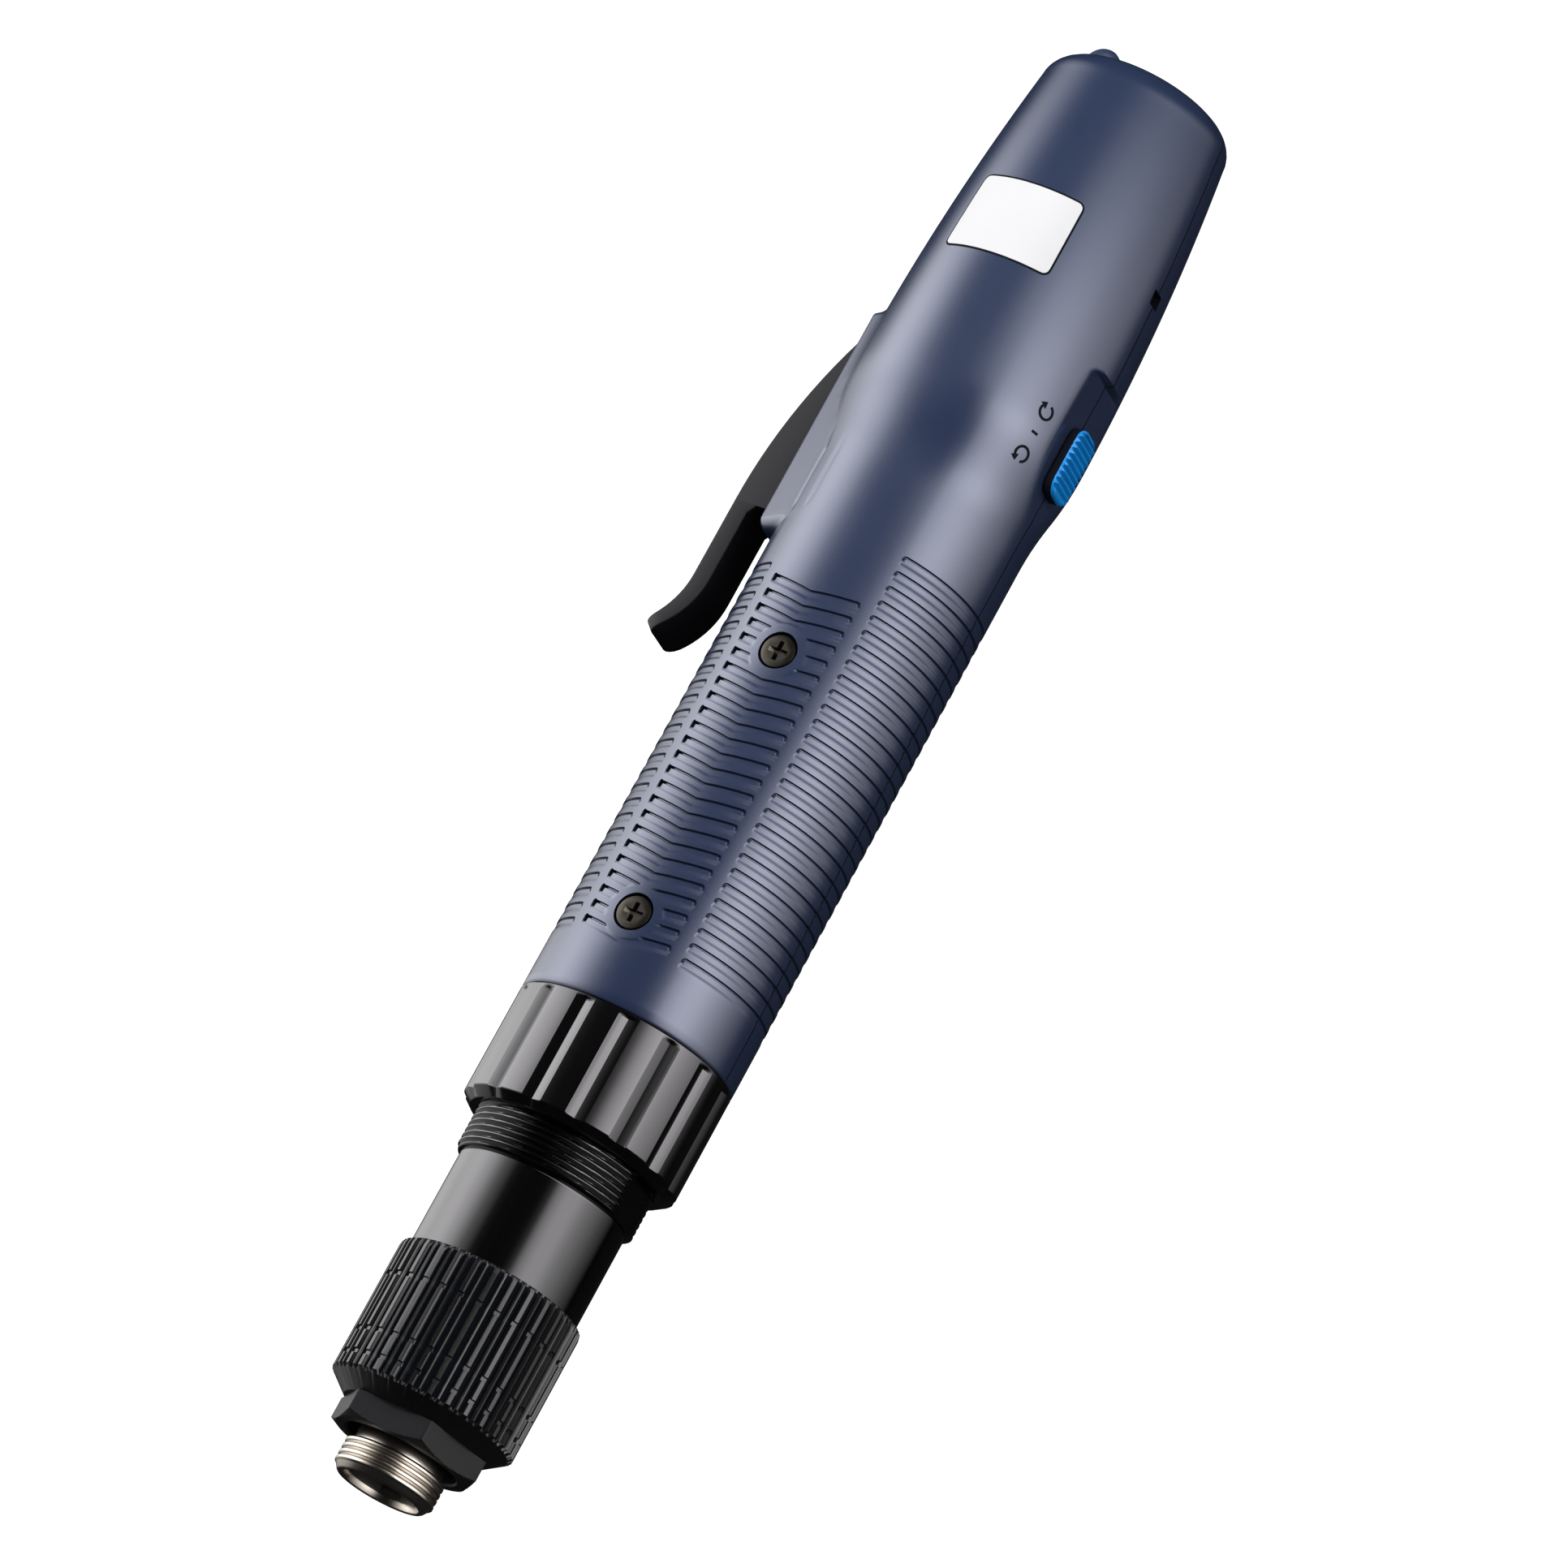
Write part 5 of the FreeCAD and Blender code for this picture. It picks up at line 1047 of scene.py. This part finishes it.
def make_marks():
    shapes = []
    for place, way in zip(MARKS, (1, -1)):
        angles = np.radians(np.linspace(*ARROW_TURN, ARROW_POINTS))
        path = [(place + way * MARK_RADIUS * math.cos(a), MARK_RADIUS * math.sin(a)) for a in angles]
        shapes.append(stroke(path, [MARK_WIDTH] * len(path)))
        end, heading = Vector(path[-1]), (Vector(path[-1]) - Vector(path[-2])).normalized()
        shapes.append(stroke([tuple(end + heading * ahead) for ahead in ARROW_AHEAD], ARROW_WIDTHS))
    shapes.append(stroke([(TICK, around) for around in (-TICK_HALF, 0, TICK_HALF)], [MARK_WIDTH] * 3))
    marks = add_mesh("rotation_marks", gather(*shapes))
    # The marks are finished in painted shade, standing for the shade on the moulded strokes.
    dress(marks, "base", "painted_shade_dark")


# Stage

TO_CAMERA = Vector((-0.284, -0.460, 0.841)).normalized()
LEVEL_UP = Vector((0, 0.877, 0.480)).normalized()
TILT = math.radians(61.2)
TARGET = Vector((126.4, -1.90, -1.04)) * MM
DISTANCE = 1361.8 * MM
LENS = 204.97
PANEL_RADIUS = 0.9
KEY = 4.5
# Shares of the key light: round the tool in degrees at the nose, grip and tail, then along it in metres
LEVER_LIGHT = {
    "nose": ((-46, 0.1), (-31, 0.3), (-12, 0.55), (-1, 0.68), (14, 1), (24, 1.12), (40, 0.9), (57, 0.3),
             (73, 0.02), (84, 0)),
    "grip": ((-46, 0), (-31, 0.15), (-12, 0.4), (-1, 0.65), (14, 1), (24, 1.1), (40, 0.85), (57, 0.3),
             (73, 0.04), (84, 0)),
    "tail": ((-46, 0), (-20, 0), (-8, 0.25), (6, 0.85), (20, 1.1), (36, 0.8), (50, 0.25), (64, 0.03),
             (72, 0)),
    "along": ((-0.8, 0), (-0.3, 0.35), (0, 0.75), (0.13, 0.98), (0.26, 1.05), (0.31, 1.0), (0.36, 0.85),
              (0.44, 1.05), (0.53, 1.05), (0.58, 0.85), (0.65, 0.5), (0.76, 0.28), (0.95, 0.08), (1.1, 0)),
}
SLIDER_LIGHT = {
    "nose": ((118, 0), (126, 0.05), (135, 0.55), (146, 0.86), (160, 0.86), (176, 0.52), (191, 0.32),
             (206, 0.14), (225, 0)),
    "grip": ((114, 0), (123, 0.2), (133, 0.75), (146, 1.05), (160, 1.02), (176, 0.68), (191, 0.34),
             (206, 0.14), (225, 0)),
    "tail": ((94, 0), (104, 0.3), (116, 0.65), (130, 0.92), (146, 1), (162, 0.92), (180, 0.66), (198, 0.46),
             (216, 0.3), (232, 0)),
    "along": ((-0.8, 0), (-0.3, 0.5), (0, 0.95), (0.13, 1.2), (0.26, 1.15), (0.32, 1.25), (0.345, 1.6),
              (0.37, 1.7), (0.41, 1.45), (0.45, 1.18), (0.515, 1.0), (0.57, 0.92), (0.65, 0.58), (0.76, 0.33),
              (0.95, 0.1), (1.1, 0)),
}
NOSE_BLEND, TAIL_BLEND = (0.318, 0.335), (0.45, 0.54)
FILL_AIM = Vector((0.2, 0, 0))
FLOOR_HALF, FLOOR_GAP, FLOOR_GLOW, WORLD_LIGHT = 4, 0.0002, 0.98, 0.012


def make_camera():
    data = bpy.data.cameras.new("camera")
    data.lens = LENS
    data.sensor_width = 36
    data.clip_start = 0.05
    data.clip_end = 20
    camera = add_object("camera", data)
    level_right = LEVEL_UP.cross(TO_CAMERA)
    right = level_right * math.cos(TILT) - LEVEL_UP * math.sin(TILT)
    up = level_right * math.sin(TILT) + LEVEL_UP * math.cos(TILT)
    place = Matrix((right, up, TO_CAMERA)).transposed().to_4x4()
    place.translation = TARGET + TO_CAMERA * DISTANCE
    camera.matrix_world = place
    bpy.context.scene.camera = camera


def glow_material(name, strength):
    """Emission that follows the mesh's own glow values."""
    material, nodes, links = node_material(name)
    nodes.clear()
    glow = nodes.new("ShaderNodeAttribute")
    glow.attribute_name = "glow"
    scale = nodes.new("ShaderNodeMath")
    scale.operation = "MULTIPLY"
    scale.inputs[1].default_value = strength
    light = nodes.new("ShaderNodeEmission")
    output = nodes.new("ShaderNodeOutputMaterial")
    links.new(glow.outputs["Fac"], scale.inputs[0])
    links.new(scale.outputs["Value"], light.inputs["Strength"])
    links.new(light.outputs["Emission"], output.inputs["Surface"])
    return material


def make_softbox(name, shares, strength):
    """Curved panel along the tool, brighter and darker round it and along it as the shares say."""
    places = ("nose", "grip", "tail")
    ends = [level[0] for place in places for level in shares[place]]
    degrees = np.linspace(min(ends), max(ends), 61)
    x = np.linspace(shares["along"][0][0], shares["along"][-1][0], 96)
    near_nose, near_tail = 1 - ramp(x, *NOSE_BLEND), ramp(x, *TAIL_BLEND)
    parts = (near_nose, 1 - near_nose - near_tail, near_tail)
    levels = np.interp(x, *zip(*shares["along"])) * sum(
        np.outer(np.interp(degrees, *zip(*shares[place])), part) for place, part in zip(places, parts))
    points = spun(x, PANEL_RADIUS, np.radians(degrees)[:, None])
    mesh = bpy.data.meshes.new(name)
    mesh.from_pydata(points.reshape(-1, 3).tolist(), [], grid_faces(len(degrees), len(x)))
    glow = mesh.attributes.new("glow", "FLOAT", "POINT")
    glow.data.foreach_set("value", levels.ravel())
    mesh.materials.append(glow_material(name, strength))
    panel = add_object(name, mesh)
    panel.visible_camera = False
    panel.visible_shadow = False


def make_fill(name, place, size, power):
    """Square light that is never mirrored in the tool."""
    data = bpy.data.lights.new(name, "AREA")
    data.size = size
    data.energy = power
    light = add_object(name, data)
    light.location = place
    light.visible_glossy = False
    light.rotation_euler = (FILL_AIM - light.location).to_track_quat("-Z", "Y").to_euler()


def make_floor():
    points = [(x * FLOOR_HALF, y * FLOOR_HALF, 0) for x, y in ((-1, -1), (1, -1), (1, 1), (-1, 1))]
    mesh = bpy.data.meshes.new("floor")
    mesh.from_pydata(points, [], [(0, 1, 2, 3)])
    material, nodes, _ = node_material("floor_white")
    put(nodes["Principled BSDF"],
        {"Base Color": (0.12, 0.12, 0.12, 1), "Specular IOR Level": 0,
         "Emission Color": (1, 1, 1, 1), "Emission Strength": FLOOR_GLOW})
    mesh.materials.append(material)
    floor = add_object("floor", mesh)
    floor.location.z = FLOOR * MM - FLOOR_GAP
    floor.visible_diffuse = False
    floor.visible_glossy = False
    floor.visible_shadow = False


def make_world():
    """White to the eye and nearly dark as a light."""
    world = bpy.data.worlds.new("surroundings")
    world.use_nodes = True
    nodes, links = world.node_tree.nodes, world.node_tree.links
    sky = put(nodes["Background"], {"Color": (1, 1, 1, 1)})
    path = nodes.new("ShaderNodeLightPath")
    level = put(nodes.new("ShaderNodeMapRange"), {"To Min": WORLD_LIGHT, "To Max": 1.0})
    links.new(path.outputs["Is Camera Ray"], level.inputs["Value"])
    links.new(level.outputs["Result"], sky.inputs["Strength"])
    bpy.context.scene.world = world
    bpy.context.scene.view_settings.view_transform = "Standard"


dress_inner_nodes()
make_bit_collar()
make_springs()
make_torque_nut()
make_clutch_case()
make_front_collar()
make_housing()
make_housing_screws()
make_start_lever()
make_direction_slider()
make_hang_ear()
make_label()
make_marks()
make_camera()
make_floor()
make_world()
make_softbox("lever_side_light", LEVER_LIGHT, KEY)
make_softbox("slider_side_light", SLIDER_LIGHT, KEY)
make_fill("rear_fill", (0.36, 0.04, 0.42), size=0.25, power=4.8)
make_fill("front_fill", (-1.1, 0, 0.25), size=0.6, power=1.5)
